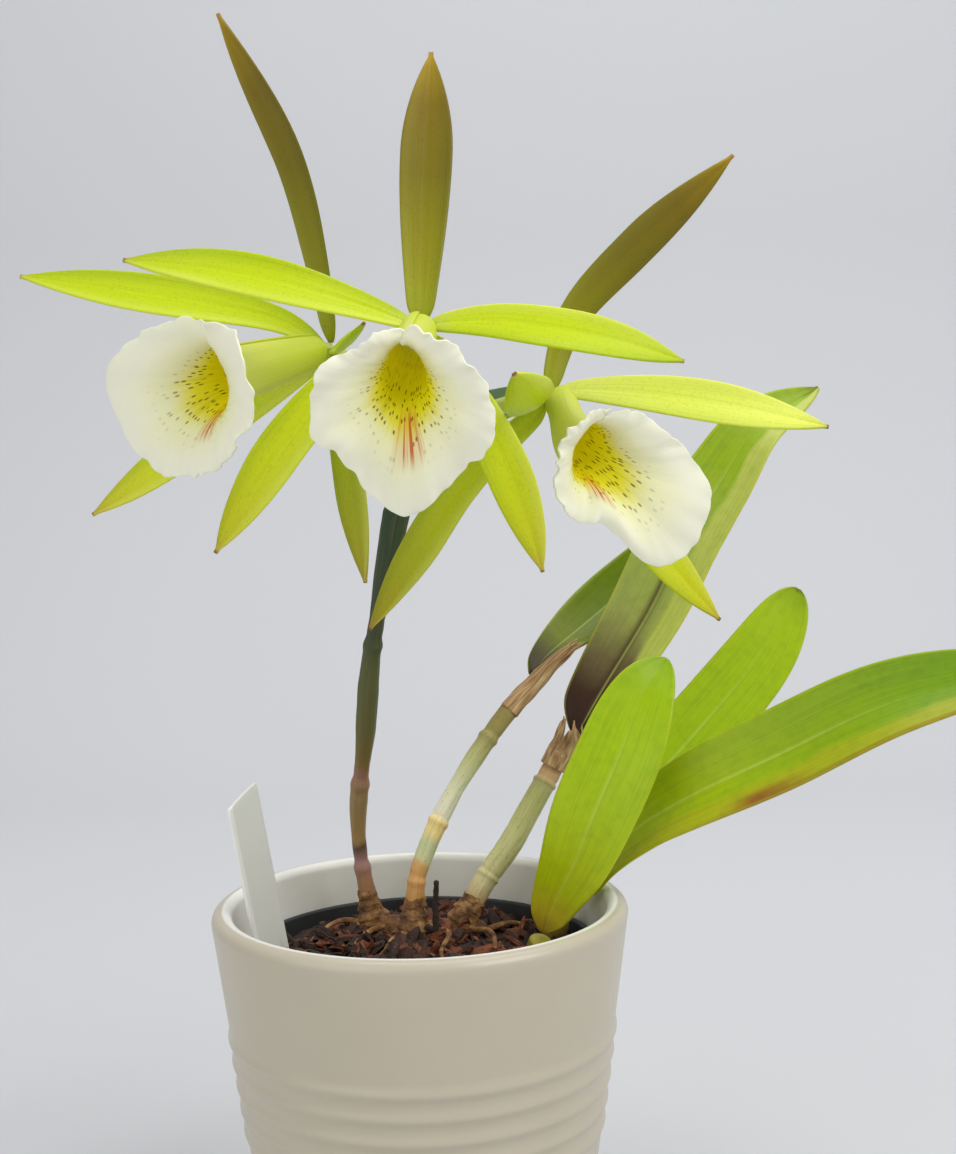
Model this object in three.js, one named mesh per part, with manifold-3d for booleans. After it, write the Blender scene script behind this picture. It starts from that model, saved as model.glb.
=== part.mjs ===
// Potted procatavola orchid in a cream ceramic cover pot.
// Millimetres, +Z up, origin at the centre of the pot's flat bottom, the open flower faces -Y.
import * as THREE from 'three';
import Module from 'manifold-3d';

const wasm = await Module();
wasm.setup();

// Cover pot
const POT_RIM_RADIUS = 45;
const POT_SHOULDER_HEIGHT = 82.5;
const POT_HEIGHT = 85;
const POT_TAPER = 0.135;
const POT_WALL = 4.5;
const POT_FLOOR = 5;
const POT_FOOT_CHAMFER = 0.8;
const POT_SEGMENTS = 40;
// Rounded rim: distance in from the rim radius, drop below the top
const POT_RIM_CURVE = [[0, 2.5], [0.7, 0.8], [2.2, 0], [3.8, 0.7], [4.5, 2.8]];
const RING_HEIGHTS = [37.1, 42.2, 47.3, 52.4, 57.5];
const RING_RELIEF = 0.7;
const RING_HALF_HEIGHT = 1.7;

// Nursery pot, standing inside with a small gap all round
const GAP = 0.35;
const NURSERY_CLEARANCE = 1.0;
const NURSERY_WALL = 1.2;
const NURSERY_FLOOR = 1.4;
const NURSERY_RIM_HEIGHT = 75;
const NURSERY_BEAD = 0.4;
const NURSERY_BEAD_HEIGHT = 3;
const NURSERY_SEGMENTS = 32;

// Bark medium
const BARK_LEVEL = 72.6;
const BARK_MOUND = 1.6;
const BARK_RELIEF = 1.3;
const BARK_EDGE_DROP = 1;
const BARK_EDGE_RELIEF = 0.6;
const BARK_RINGS = 6;
const BARK_SEGMENTS = NURSERY_SEGMENTS;
const TROUGH_CLEARANCE = 1.3;
const TROUGH_LIFT = 3;
const GROWTH_HOLE_RADIUS = 3.4;
const STUB_HOLE_RADIUS = 1.3;

// Plant label
const LABEL_FOOT = [-30, -4, 62];
const LABEL_HEAD = [-37, -9.8, 111];
const LABEL_ACROSS = [0.62, 0.78, 0.06];
const LABEL_WIDTH = 9;
const LABEL_THICKNESS = 0.8;
const LABEL_TOP_DROP = 2;
const LABEL_TOP_SLOPE = 1.5;
const LABEL_COLUMNS = 4;

// Leaves and tepals
const LEAF_THICKNESS = 1.5;
const LEAF_WAVE = 0.5;
const LEAF_WAVES = 1.3;
const LEAF_ROWS = 11;
const LONG_LEAF_ROWS = 13;
const SHEATH_THICKNESS = 0.8;
const SHEATH_ROWS = 5;
const TEPAL_THICKNESS = 0.9;
const TEPAL_WAVES = 1.2;
const TEPAL_ROWS = 9;
const PETAL_CHANNEL = 0.9;
const PETAL_WAVE = 0.3;
const SEPAL_CHANNEL = 0.7;
const SEPAL_WAVE = 0.15;
const BLADE_COLUMNS = 4;
const ROW_SPACING = 1.25;
const EDGE_THINNING = 0.25;
const WAVE_LEAD = 0.06;

// Lip: a bent tube, then a bell that leaves the throat along its axis and turns outwards
const LIP_THICKNESS = 0.8;
const LIP_TUBE_RADIUS = 2.7;
const LIP_THROAT = 1 / 3;
const THROAT_SIDE = 3.6;
const THROAT_FLOOR = 1.2;
const THROAT_CROWN = 1.6;
const THROAT_PULL = 1.15;
const RIM_PULL = 0.9;
const RIM_FLARE = THREE.MathUtils.degToRad(95);
const LIP_SLIT = 0.98;
const LIP_ROOT_OFFSET = 3.6;
const LIP_ROWS = 12;
const LIP_COLUMNS = 24;
const RUFFLE = 0.5;
const NORMAL_STEP = 0.004;

// Column, ovary and stems
const COLUMN_RADII = [1.3, 1.5, 1.8, 1.2];
// Places on the tube's centre line, as a share of it, and how far the column lies above it there
const COLUMN_BEND = [0.08, 0.4];
const COLUMN_TIP = [0.55, 0.6];
const FLOWER_JOINT_GAP = 0.5;
const OVARY_RADII = [0.95, 1.1, 1.4, 1.9, 1.6];
const STEM_SIDES = 8;

const MATERIALS = {
  ceramic: { color: 0xcdc5b6, roughness: 0.42, metalness: 0 },
  nursery: { color: 0x17181a, roughness: 0.6, metalness: 0 },
  bark: { color: 0x3d2416, roughness: 0.95, metalness: 0 },
  rhizome: { color: 0x8a6a45, roughness: 0.85, metalness: 0 },
  label: { color: 0xd9dad6, roughness: 0.5, metalness: 0 },
  cane_dark: { color: 0x4f5a2a, roughness: 0.6, metalness: 0 },
  cane_pale: { color: 0xb9b98c, roughness: 0.6, metalness: 0 },
  papery: { color: 0xa08560, roughness: 0.9, metalness: 0 },
  leaf: { color: 0x6f9c1c, roughness: 0.42, metalness: 0 },
  leaf_dark: { color: 0x24401a, roughness: 0.45, metalness: 0 },
  tepal: { color: 0xb6cf1e, roughness: 0.5, metalness: 0 },
  tepal_olive: { color: 0x7d7410, roughness: 0.5, metalness: 0 },
  lip: { color: 0xe9e8d2, roughness: 0.6, metalness: 0 },
  column: { color: 0xc9d65a, roughness: 0.5, metalness: 0 },
};

const model = new THREE.Group();
model.name = 'potted_procatavola_orchid';

// Repeatable random numbers in 0..1
function seeded(seed) {
  let state = seed >>> 0;
  return () => {
    state = (Math.imul(state, 1664525) + 1013904223) >>> 0;
    return state / 4294967296;
  };
}

function vec(p) {
  return new THREE.Vector3(p[0], p[1], p[2]);
}

// Value at t in 0..1 along a list of evenly spaced values
function lerpList(list, t) {
  const place = Math.min(Math.max(t, 0), 1) * (list.length - 1);
  const low = Math.min(Math.floor(place), list.length - 2);
  const ease = place - low;
  return list[low] * (1 - ease) + list[low + 1] * ease;
}

// Closed body from shared points and triangles
function body(points, triangles) {
  const geometry = new THREE.BufferGeometry().setFromPoints(points);
  geometry.setIndex(triangles.flat());
  return geometry;
}

function toManifold(geometry) {
  return new wasm.Manifold(new wasm.Mesh({
    numProp: 3,
    vertProperties: geometry.getAttribute('position').array,
    triVerts: new Uint32Array(geometry.getIndex().array),
  }));
}

function fromManifold(solid) {
  const mesh = solid.getMesh();
  const geometry = new THREE.BufferGeometry();
  geometry.setAttribute('position', new THREE.BufferAttribute(mesh.vertProperties, 3));
  geometry.setIndex(new THREE.BufferAttribute(mesh.triVerts, 1));
  return geometry;
}

function add(name, geometry, look) {
  geometry.computeVertexNormals();
  const mesh = new THREE.Mesh(geometry, new THREE.MeshStandardMaterial(MATERIALS[look]));
  mesh.name = name;
  model.add(mesh);
}

// Body of revolution about Z; the profile runs from the axis, up the outside and back to the axis
function lathe(profile, segments) {
  const outline = profile.map(([radius, height]) => new THREE.Vector2(radius, height));
  return new THREE.LatheGeometry(outline, segments).rotateX(Math.PI / 2);
}

// Round stem along a path, with evenly spaced radii and an optional knobby surface
function stem({ path, radii, rings, sides = STEM_SIDES, bump = 0, seed = 1 }) {
  const curve = new THREE.CatmullRomCurve3(path.map(vec), false, 'centripetal');
  const random = seeded(seed);
  const points = [];
  const triangles = [];
  let side = new THREE.Vector3(1, 0, 0);
  for (let i = 0; i <= rings; i += 1) {
    const centre = curve.getPointAt(i / rings);
    const along = curve.getTangentAt(i / rings);
    side = side.clone().addScaledVector(along, -side.dot(along)).normalize();
    const other = new THREE.Vector3().crossVectors(along, side);
    const radius = lerpList(radii, i / rings);
    for (let k = 0; k < sides; k += 1) {
      const turn = (2 * Math.PI * k) / sides;
      const reach = radius + bump * (random() - 0.5);
      points.push(centre.clone()
        .addScaledVector(side, reach * Math.cos(turn))
        .addScaledVector(other, reach * Math.sin(turn)));
    }
  }
  points.push(curve.getPointAt(0), curve.getPointAt(1));
  const at = (i, k) => i * sides + (k % sides);
  for (let k = 0; k < sides; k += 1) {
    triangles.push([points.length - 2, at(0, k + 1), at(0, k)]);
    for (let i = 0; i < rings; i += 1) {
      triangles.push([at(i, k), at(i, k + 1), at(i + 1, k + 1)]);
      triangles.push([at(i, k), at(i + 1, k + 1), at(i + 1, k)]);
    }
    triangles.push([points.length - 1, at(rings, k), at(rings, k + 1)]);
  }
  return body(points, triangles);
}

// Thin closed sheet from two grids of face points; both faces are split along the same diagonals
function sheet(front, back, rows, columns) {
  const points = [...front, ...back];
  const triangles = [];
  const half = front.length;
  const at = (i, j) => i * (columns + 1) + j;
  for (let i = 0; i < rows; i += 1) {
    for (let j = 0; j < columns; j += 1) {
      const a = at(i, j);
      const b = at(i, j + 1);
      const c = at(i + 1, j + 1);
      const d = at(i + 1, j);
      triangles.push([a, b, c], [a, c, d]);
      triangles.push([half + a, half + c, half + b], [half + a, half + d, half + c]);
    }
  }
  const rim = [];
  for (let j = 0; j < columns; j += 1) {
    rim.push(at(0, j));
  }
  for (let i = 0; i < rows; i += 1) {
    rim.push(at(i, columns));
  }
  for (let j = columns; j > 0; j -= 1) {
    rim.push(at(rows, j));
  }
  for (let i = rows; i > 0; i -= 1) {
    rim.push(at(i, 0));
  }
  rim.forEach((p, k) => {
    const q = rim[(k + 1) % rim.length];
    triangles.push([p, half + q, q], [p, half + p, half + q]);
  });
  return body(points, triangles);
}

// Share of the full width at t: a foot of a given share, the widest place, then a rounded or pointed tip
function widthShare(shape, t) {
  if (t < shape.widest) {
    return shape.base + (1 - shape.base) * Math.sin((Math.PI / 2) * (t / shape.widest)) ** shape.swell;
  }
  const rest = (t - shape.widest) / (1 - shape.widest);
  return Math.max((1 - rest ** shape.hold) ** shape.tip, shape.end);
}

// Leaf or tepal: midrib path, side that it faces, width along it, channel across it, waved margins
function blade({ path, facing, width, shape, channel, thick, wave, waves, phase = 0, rows }) {
  const curve = new THREE.CatmullRomCurve3(path.map(vec), false, 'centripetal');
  const front = [];
  const back = [];
  for (let i = 0; i <= rows; i += 1) {
    const t = 1 - (1 - i / rows) ** ROW_SPACING;
    const centre = curve.getPointAt(t);
    const along = curve.getTangentAt(t);
    const across = new THREE.Vector3().crossVectors(along, vec(facing)).normalize();
    const normal = new THREE.Vector3().crossVectors(across, along).normalize();
    const share = widthShare(shape, t);
    const fill = Math.sin(Math.PI * Math.min(t + WAVE_LEAD, 1));
    for (let j = 0; j <= BLADE_COLUMNS; j += 1) {
      const s = (2 * j) / BLADE_COLUMNS - 1;
      const swing = wave * fill * Math.sin(waves * 2 * Math.PI * t + phase + s);
      const lift = (channel * share + swing) * s * s;
      const halfThick = (thick / 2) * (1 - EDGE_THINNING * s * s);
      const mid = centre.clone()
        .addScaledVector(across, s * share * (width / 2))
        .addScaledVector(normal, lift);
      front.push(mid.clone().addScaledVector(normal, halfThick));
      back.push(mid.clone().addScaledVector(normal, -halfThick));
    }
  }
  return sheet(front, back, rows, BLADE_COLUMNS);
}

// Weights of a cubic blend: start place, leaving pull, end place, arriving pull
function cubic(t) {
  const rest = 1 - t;
  return [(1 + 2 * t) * rest ** 2, t * rest ** 2, t ** 2 * (3 - 2 * t), -(t ** 2) * rest];
}

// Centre line of the lip's tube, from the flower's middle to the throat
function tubePoint(flower, t) {
  const [start, leave, end, arrive] = cubic(t);
  const pull = flower.lipRoot.distanceTo(flower.lipThroat);
  return flower.lipRoot.clone().multiplyScalar(start)
    .addScaledVector(flower.lipAim, leave * pull)
    .addScaledVector(flower.lipThroat, end)
    .addScaledVector(flower.lipAxis, arrive * pull);
}

// Trumpet lip; u runs along it, v round it from one edge of its slit to the other
function lipPoint(flower, u, v) {
  const turn = v * Math.PI * LIP_SLIT;
  const floor = Math.max(Math.cos(turn), 0) ** 2;
  const crown = Math.max(-Math.cos(turn), 0) ** 4;
  const throat = THROAT_SIDE + THROAT_FLOOR * floor + THROAT_CROWN * crown;
  const rim = lerpList(flower.lipRim, (v + 1) / 2);
  const forward = lerpList(flower.lipReach, (v + 1) / 2);
  const swing = Math.hypot(rim - throat, forward);
  const tube = Math.min(u / LIP_THROAT, 1);
  const bell = Math.max((u - LIP_THROAT) / (1 - LIP_THROAT), 0);
  const [start, leave, end, arrive] = cubic(bell);
  const radius = LIP_TUBE_RADIUS + (throat - LIP_TUBE_RADIUS) * tube ** 0.8
    + (start - 1) * throat
    + end * rim
    + arrive * RIM_PULL * swing * Math.sin(RIM_FLARE);
  const reach = leave * THROAT_PULL * swing
    + end * forward
    + arrive * RIM_PULL * swing * Math.cos(RIM_FLARE)
    + RUFFLE * bell ** 2.5 * Math.sin(7 * turn + flower.phase);
  return tubePoint(flower, tube)
    .addScaledVector(flower.lipAxis, reach)
    .addScaledVector(flower.lipUp, -radius * Math.cos(turn))
    .addScaledVector(flower.lipSide, radius * Math.sin(turn));
}

function lip(flower) {
  const front = [];
  const back = [];
  for (let i = 0; i <= LIP_ROWS; i += 1) {
    for (let j = 0; j <= LIP_COLUMNS; j += 1) {
      const u = i / LIP_ROWS;
      const v = (2 * j) / LIP_COLUMNS - 1;
      const nearer = lipPoint(flower, Math.max(u - NORMAL_STEP, 0), v);
      const further = lipPoint(flower, Math.min(u + NORMAL_STEP, 1), v);
      const before = lipPoint(flower, u, Math.max(v - NORMAL_STEP, -1));
      const after = lipPoint(flower, u, Math.min(v + NORMAL_STEP, 1));
      const normal = new THREE.Vector3().crossVectors(after.sub(before), further.sub(nearer)).normalize();
      const mid = lipPoint(flower, u, v);
      front.push(mid.clone().addScaledVector(normal, LIP_THICKNESS / 2));
      back.push(mid.clone().addScaledVector(normal, -LIP_THICKNESS / 2));
    }
  }
  return sheet(front, back, LIP_ROWS, LIP_COLUMNS);
}

function potRadius(z) {
  return POT_RIM_RADIUS - POT_TAPER * (POT_SHOULDER_HEIGHT - z);
}

function coverPot() {
  const profile = [[0, 0], [potRadius(0) - POT_FOOT_CHAMFER, 0], [potRadius(0), POT_FOOT_CHAMFER]];
  for (const z of RING_HEIGHTS) {
    profile.push([potRadius(z - RING_HALF_HEIGHT), z - RING_HALF_HEIGHT]);
    profile.push([potRadius(z) + RING_RELIEF, z]);
    profile.push([potRadius(z + RING_HALF_HEIGHT), z + RING_HALF_HEIGHT]);
  }
  for (const [inset, drop] of POT_RIM_CURVE) {
    profile.push([POT_RIM_RADIUS - inset, POT_HEIGHT - drop]);
  }
  profile.push([potRadius(POT_FLOOR) - POT_WALL, POT_FLOOR], [0, POT_FLOOR]);
  return lathe(profile, POT_SEGMENTS);
}

function nurseryRadius(z) {
  return potRadius(z) - POT_WALL - NURSERY_CLEARANCE;
}

function nurseryPot() {
  const foot = POT_FLOOR + GAP;
  const floor = foot + NURSERY_FLOOR;
  const top = NURSERY_RIM_HEIGHT;
  const bead = top - NURSERY_BEAD_HEIGHT;
  return lathe([
    [0, foot],
    [nurseryRadius(foot), foot],
    [nurseryRadius(bead), bead],
    [nurseryRadius(bead) + NURSERY_BEAD, bead + NURSERY_BEAD],
    [nurseryRadius(top) + NURSERY_BEAD, top - NURSERY_BEAD],
    [nurseryRadius(top), top],
    [nurseryRadius(top) - NURSERY_WALL, top - NURSERY_BEAD],
    [nurseryRadius(floor) - NURSERY_WALL, floor],
    [0, floor],
  ], NURSERY_SEGMENTS);
}

// Bark heap before the plant's holes are cut
function barkHeap() {
  const random = seeded(41);
  const bottom = POT_FLOOR + GAP + NURSERY_FLOOR + GAP;
  const edge = nurseryRadius(BARK_LEVEL) - NURSERY_WALL - GAP;
  const points = [new THREE.Vector3(0, 0, bottom)];
  const triangles = [];
  const ring = (radius, height) => {
    for (let k = 0; k < BARK_SEGMENTS; k += 1) {
      const turn = (2 * Math.PI * k) / BARK_SEGMENTS;
      points.push(new THREE.Vector3(radius * Math.cos(turn), radius * Math.sin(turn), height()));
    }
  };
  ring(nurseryRadius(bottom) - NURSERY_WALL - GAP, () => bottom);
  ring(edge, () => BARK_LEVEL - BARK_EDGE_DROP + random() * BARK_EDGE_RELIEF);
  for (let i = BARK_RINGS; i > 0; i -= 1) {
    const share = i / (BARK_RINGS + 1);
    const mound = BARK_LEVEL + BARK_MOUND * Math.cos((share * Math.PI) / 2);
    ring(edge * share, () => mound + BARK_RELIEF * (random() - 0.5) * 2);
  }
  points.push(new THREE.Vector3(0, 0, BARK_LEVEL + BARK_MOUND));
  const rings = BARK_RINGS + 2;
  const at = (i, k) => 1 + i * BARK_SEGMENTS + (k % BARK_SEGMENTS);
  for (let k = 0; k < BARK_SEGMENTS; k += 1) {
    triangles.push([0, at(0, k + 1), at(0, k)]);
    for (let i = 0; i < rings - 1; i += 1) {
      triangles.push([at(i, k), at(i, k + 1), at(i + 1, k + 1)]);
      triangles.push([at(i, k), at(i + 1, k + 1), at(i + 1, k)]);
    }
    triangles.push([at(rings - 1, k), at(rings - 1, k + 1), points.length - 1]);
  }
  return body(points, triangles);
}

// Label blank, grown all round when it cuts its own slot
function labelBlock(grow) {
  const along = vec(LABEL_HEAD).sub(vec(LABEL_FOOT)).normalize();
  const across = vec(LABEL_ACROSS);
  across.addScaledVector(along, -across.dot(along)).normalize();
  const normal = new THREE.Vector3().crossVectors(across, along);
  const half = LABEL_WIDTH / 2 + grow;
  const halfThick = LABEL_THICKNESS / 2 + grow;
  const ends = [[LABEL_FOOT, -grow, 0], [LABEL_HEAD, -LABEL_TOP_DROP, LABEL_TOP_SLOPE]];
  const front = [];
  const back = [];
  for (const [place, shift, slope] of ends) {
    for (let j = 0; j <= LABEL_COLUMNS; j += 1) {
      const s = (2 * j) / LABEL_COLUMNS - 1;
      const mid = vec(place)
        .addScaledVector(across, s * half)
        .addScaledVector(along, shift + slope * (1 + s));
      front.push(mid.clone().addScaledVector(normal, halfThick));
      back.push(mid.clone().addScaledVector(normal, -halfThick));
    }
  }
  return sheet(front, back, 1, LABEL_COLUMNS);
}

// Rhizome, short growths and the old stub; each path starts at the end that is deepest in the bark
const RHIZOME = {
        path: [
          [-15.5, 21, 73.6], [-9, 17.5, 74], [-1.5, 11, 74.2],
          [4, 11.5, 74], [10, 14.5, 73.8], [15, 13, 73],
        ],
  radii: [1.6, 2.6, 2.3, 3.1, 2.4, 2.7, 2.6, 1.5],
  rings: 12,
  bump: 0.5,
  seed: 7,
};
const GROWTH_FRONT = {
  path: [[25.4, 4.4, 69], [25.8, 4, 72.5], [26.4, 3.4, 74.9]],
  radii: [2.4, 2.9, 2.6],
  rings: 4,
};
const GROWTH_REAR = {
  path: [[29, 12.6, 69], [29.8, 12.4, 74], [31, 12, 79.4]],
  radii: [2.4, 2.9, 2.7],
  rings: 5,
};
const STUB = {
  path: [[3, 6.4, 69], [3, 6.2, 80], [3.4, 6, 87.5]],
  radii: [0.8, 0.7, 0.55],
  rings: 4,
  sides: 6,
};

// Plain hole that a stem stands in, a little deeper than the stem
function stemHole({ path, rings }, radius) {
  const [foot, ...rest] = path;
  const sunk = [foot[0], foot[1], foot[2] - GAP];
  return toManifold(stem({ path: [sunk, ...rest], radii: [radius, radius], rings }));
}

function barkMedium() {
  const trough = [[-17, 22, 73.4], ...RHIZOME.path.slice(1, -1), [16.5, 12.6, 72.8]];
  const raised = trough.map(([x, y, z]) => [x, y, z + TROUGH_LIFT]);
  const radii = RHIZOME.radii.map((radius) => radius + TROUGH_CLEARANCE);
  const cuts = [
    toManifold(stem({ path: trough, radii, rings: RHIZOME.rings })),
    toManifold(stem({ path: raised, radii, rings: RHIZOME.rings })),
    stemHole(GROWTH_FRONT, GROWTH_HOLE_RADIUS),
    stemHole(GROWTH_REAR, GROWTH_HOLE_RADIUS),
    stemHole(STUB, STUB_HOLE_RADIUS),
    toManifold(labelBlock(GAP)),
  ];
  return fromManifold(cuts.reduce((solid, cut) => solid.subtract(cut), toManifold(barkHeap())));
}

add('cover_pot', coverPot(), 'ceramic');
add('nursery_pot', nurseryPot(), 'nursery');
add('bark_medium', barkMedium(), 'bark');
add('rhizome', stem(RHIZOME), 'rhizome');
add('plant_label', labelBlock(0), 'label');
add('old_stem_stub', stem(STUB), 'bark');
add('growth_front', stem(GROWTH_FRONT), 'leaf');
add('growth_rear', stem(GROWTH_REAR), 'leaf');

// Canes, thickest between their joints
const CANES = {
  cane_flowering: {
    look: 'cane_dark',
    path: [
      [-12.2, 19.6, 77.4], [-14.2, 19.6, 89], [-14.5, 18, 100], [-12.1, 13, 118.5],
      [-10, 8, 136.5], [-5.2, 0, 159.4], [-2.6, -4, 170.8],
    ],
    radii: [2.3, 1.7, 1.65, 2.1, 1.7, 2.3, 2.4, 2.0, 1.7, 2.3, 2.7, 3.0],
    rings: 16,
  },
  cane_middle: {
    look: 'cane_pale',
    path: [
      [-1.7, 10.4, 77.8], [-1.2, 11, 86.2], [1.2, 13, 93], [6.4, 16, 103.2],
      [13.6, 20, 113.8], [21.2, 24, 123], [26.6, 26, 128.6],
    ],
    radii: [2.6, 1.9, 2.1, 2.2, 1.9, 2.2, 2.1, 2.2, 1.8],
    rings: 13,
  },
  cane_right: {
    look: 'cane_pale',
    path: [
      [9.8, 14, 77.5], [14, 16, 84.4], [20, 19, 92], [25.2, 22, 100.2], [30.2, 25, 108], [32.6, 26.4, 112.4],
    ],
    radii: [2.6, 2.6, 2.8, 2.7, 2.6, 2.2],
    rings: 11,
  },
};

for (const [name, cane] of Object.entries(CANES)) {
  add(name, stem(cane), cane.look);
}

const LEAF_SHAPE = { base: 0.3, widest: 0.55, swell: 0.9, hold: 2.6, tip: 0.62, end: 0.06 };
const CLASPING_SHAPE = { base: 0.62, widest: 0.45, swell: 0.9, hold: 2.2, tip: 0.75, end: 0.06 };
const SHEATH_SHAPE = { base: 0.75, widest: 0.4, swell: 1, hold: 1.6, tip: 0.8, end: 0.25 };
const SEPAL_SHAPE = { base: 0.46, widest: 0.6, swell: 1.1, hold: 1.9, tip: 0.95, end: 0.09 };
const PETAL_SHAPE = { base: 0.26, widest: 0.52, swell: 0.95, hold: 2.1, tip: 0.9, end: 0.09 };

const LEAVES = {
  leaf_front: {
    path: [
      [26.6, 3.2, 76], [29.7, 0.5, 84.5], [33.4, -2, 92.4], [38, -4, 104.4],
      [43, -4, 115.5], [49.5, 0, 129.3], [54.8, 4, 136],
    ],
    facing: [-0.2, -1, 0.1],
    width: 18.5,
    channel: 2.2,
  },
  leaf_mid_right: {
    path: [
      [31.4, 13.2, 81.2], [34.2, 15.4, 87], [39.4, 18, 93], [50.5, 24, 102.2],
      [65, 28, 116.4], [79.8, 32, 132.6], [90, 36, 148],
    ],
    facing: [0, -1, 0.25],
    width: 17.5,
    channel: 1.8,
    shape: { ...LEAF_SHAPE, hold: 3.4, tip: 0.52 },
  },
  leaf_long_right: {
    path: [
      [33.4, 10.6, 80.2], [40, 8, 90.4], [48.4, 4, 98.8], [58.2, -1, 105.9],
      [76.2, -8, 116], [98.6, -16, 128.1], [128, -24, 136.7],
    ],
    facing: [-0.1, -0.75, 0.65],
    width: 19.5,
    channel: 3,
    rows: LONG_LEAF_ROWS,
  },
  leaf_upper: {
    path: [
      [36.4, 27.4, 115.4], [42, 29.5, 124.5], [55, 35, 144], [63.6, 38.5, 160],
      [73, 42, 174], [82, 46, 186], [99, 55, 196],
    ],
    facing: [-0.35, -0.9, 0.2],
    width: 19,
    channel: 4,
    rows: LONG_LEAF_ROWS,
    shape: CLASPING_SHAPE,
  },
  leaf_upper_back: {
    path: [
      [26, 28.8, 129.6], [30.5, 34, 133.6], [37.2, 41, 138], [47.5, 50, 145], [60.5, 57, 155], [71, 62, 166],
    ],
    facing: [-0.5, -0.85, 0.1],
    width: 15,
    channel: 3,
  },
  leaf_flowering: {
    path: [
      [-2.8, -1.8, 173], [4, 10, 182], [13, 24, 189], [23.6, 38, 192.5], [34, 50, 194.6], [39, 56, 195],
    ],
    facing: [0, -0.5, 0.85],
    width: 15,
    channel: 2.4,
    look: 'leaf_dark',
  },
};

for (const [name, leaf] of Object.entries(LEAVES)) {
  add(name, blade({
    thick: LEAF_THICKNESS, shape: LEAF_SHAPE, rows: LEAF_ROWS, wave: LEAF_WAVE, waves: LEAF_WAVES, ...leaf,
  }), leaf.look ?? 'leaf');
}

const SHEATHS = {
  dried_sheath_middle: {
    path: [[27.4, 24.8, 130.8], [31, 25, 133.6], [36.6, 25.4, 137.8]],
    facing: [-0.3, -0.8, 0.5],
    width: 3.4,
    channel: 0.8,
    wave: 0.3,
    waves: 1,
  },
  dried_sheath_right: {
    path: [[30.8, 22.2, 111.6], [32.8, 22.6, 115.6], [34.8, 23.2, 119.8]],
    facing: [-0.2, -1, 0.2],
    width: 5,
    channel: -0.7,
    wave: 0.4,
    waves: 1.5,
  },
};

for (const [name, scrap] of Object.entries(SHEATHS)) {
  add(name, blade({ thick: SHEATH_THICKNESS, shape: SHEATH_SHAPE, rows: SHEATH_ROWS, ...scrap }), 'papery');
}

add('flower_stalk', stem({
  path: [[-1.8, -5.6, 171.9], [-0.6, -7.8, 177], [1.4, -11, 184.4]],
  radii: [1.7, 1.6, 1.9],
  rings: 6,
}), 'column');

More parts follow.
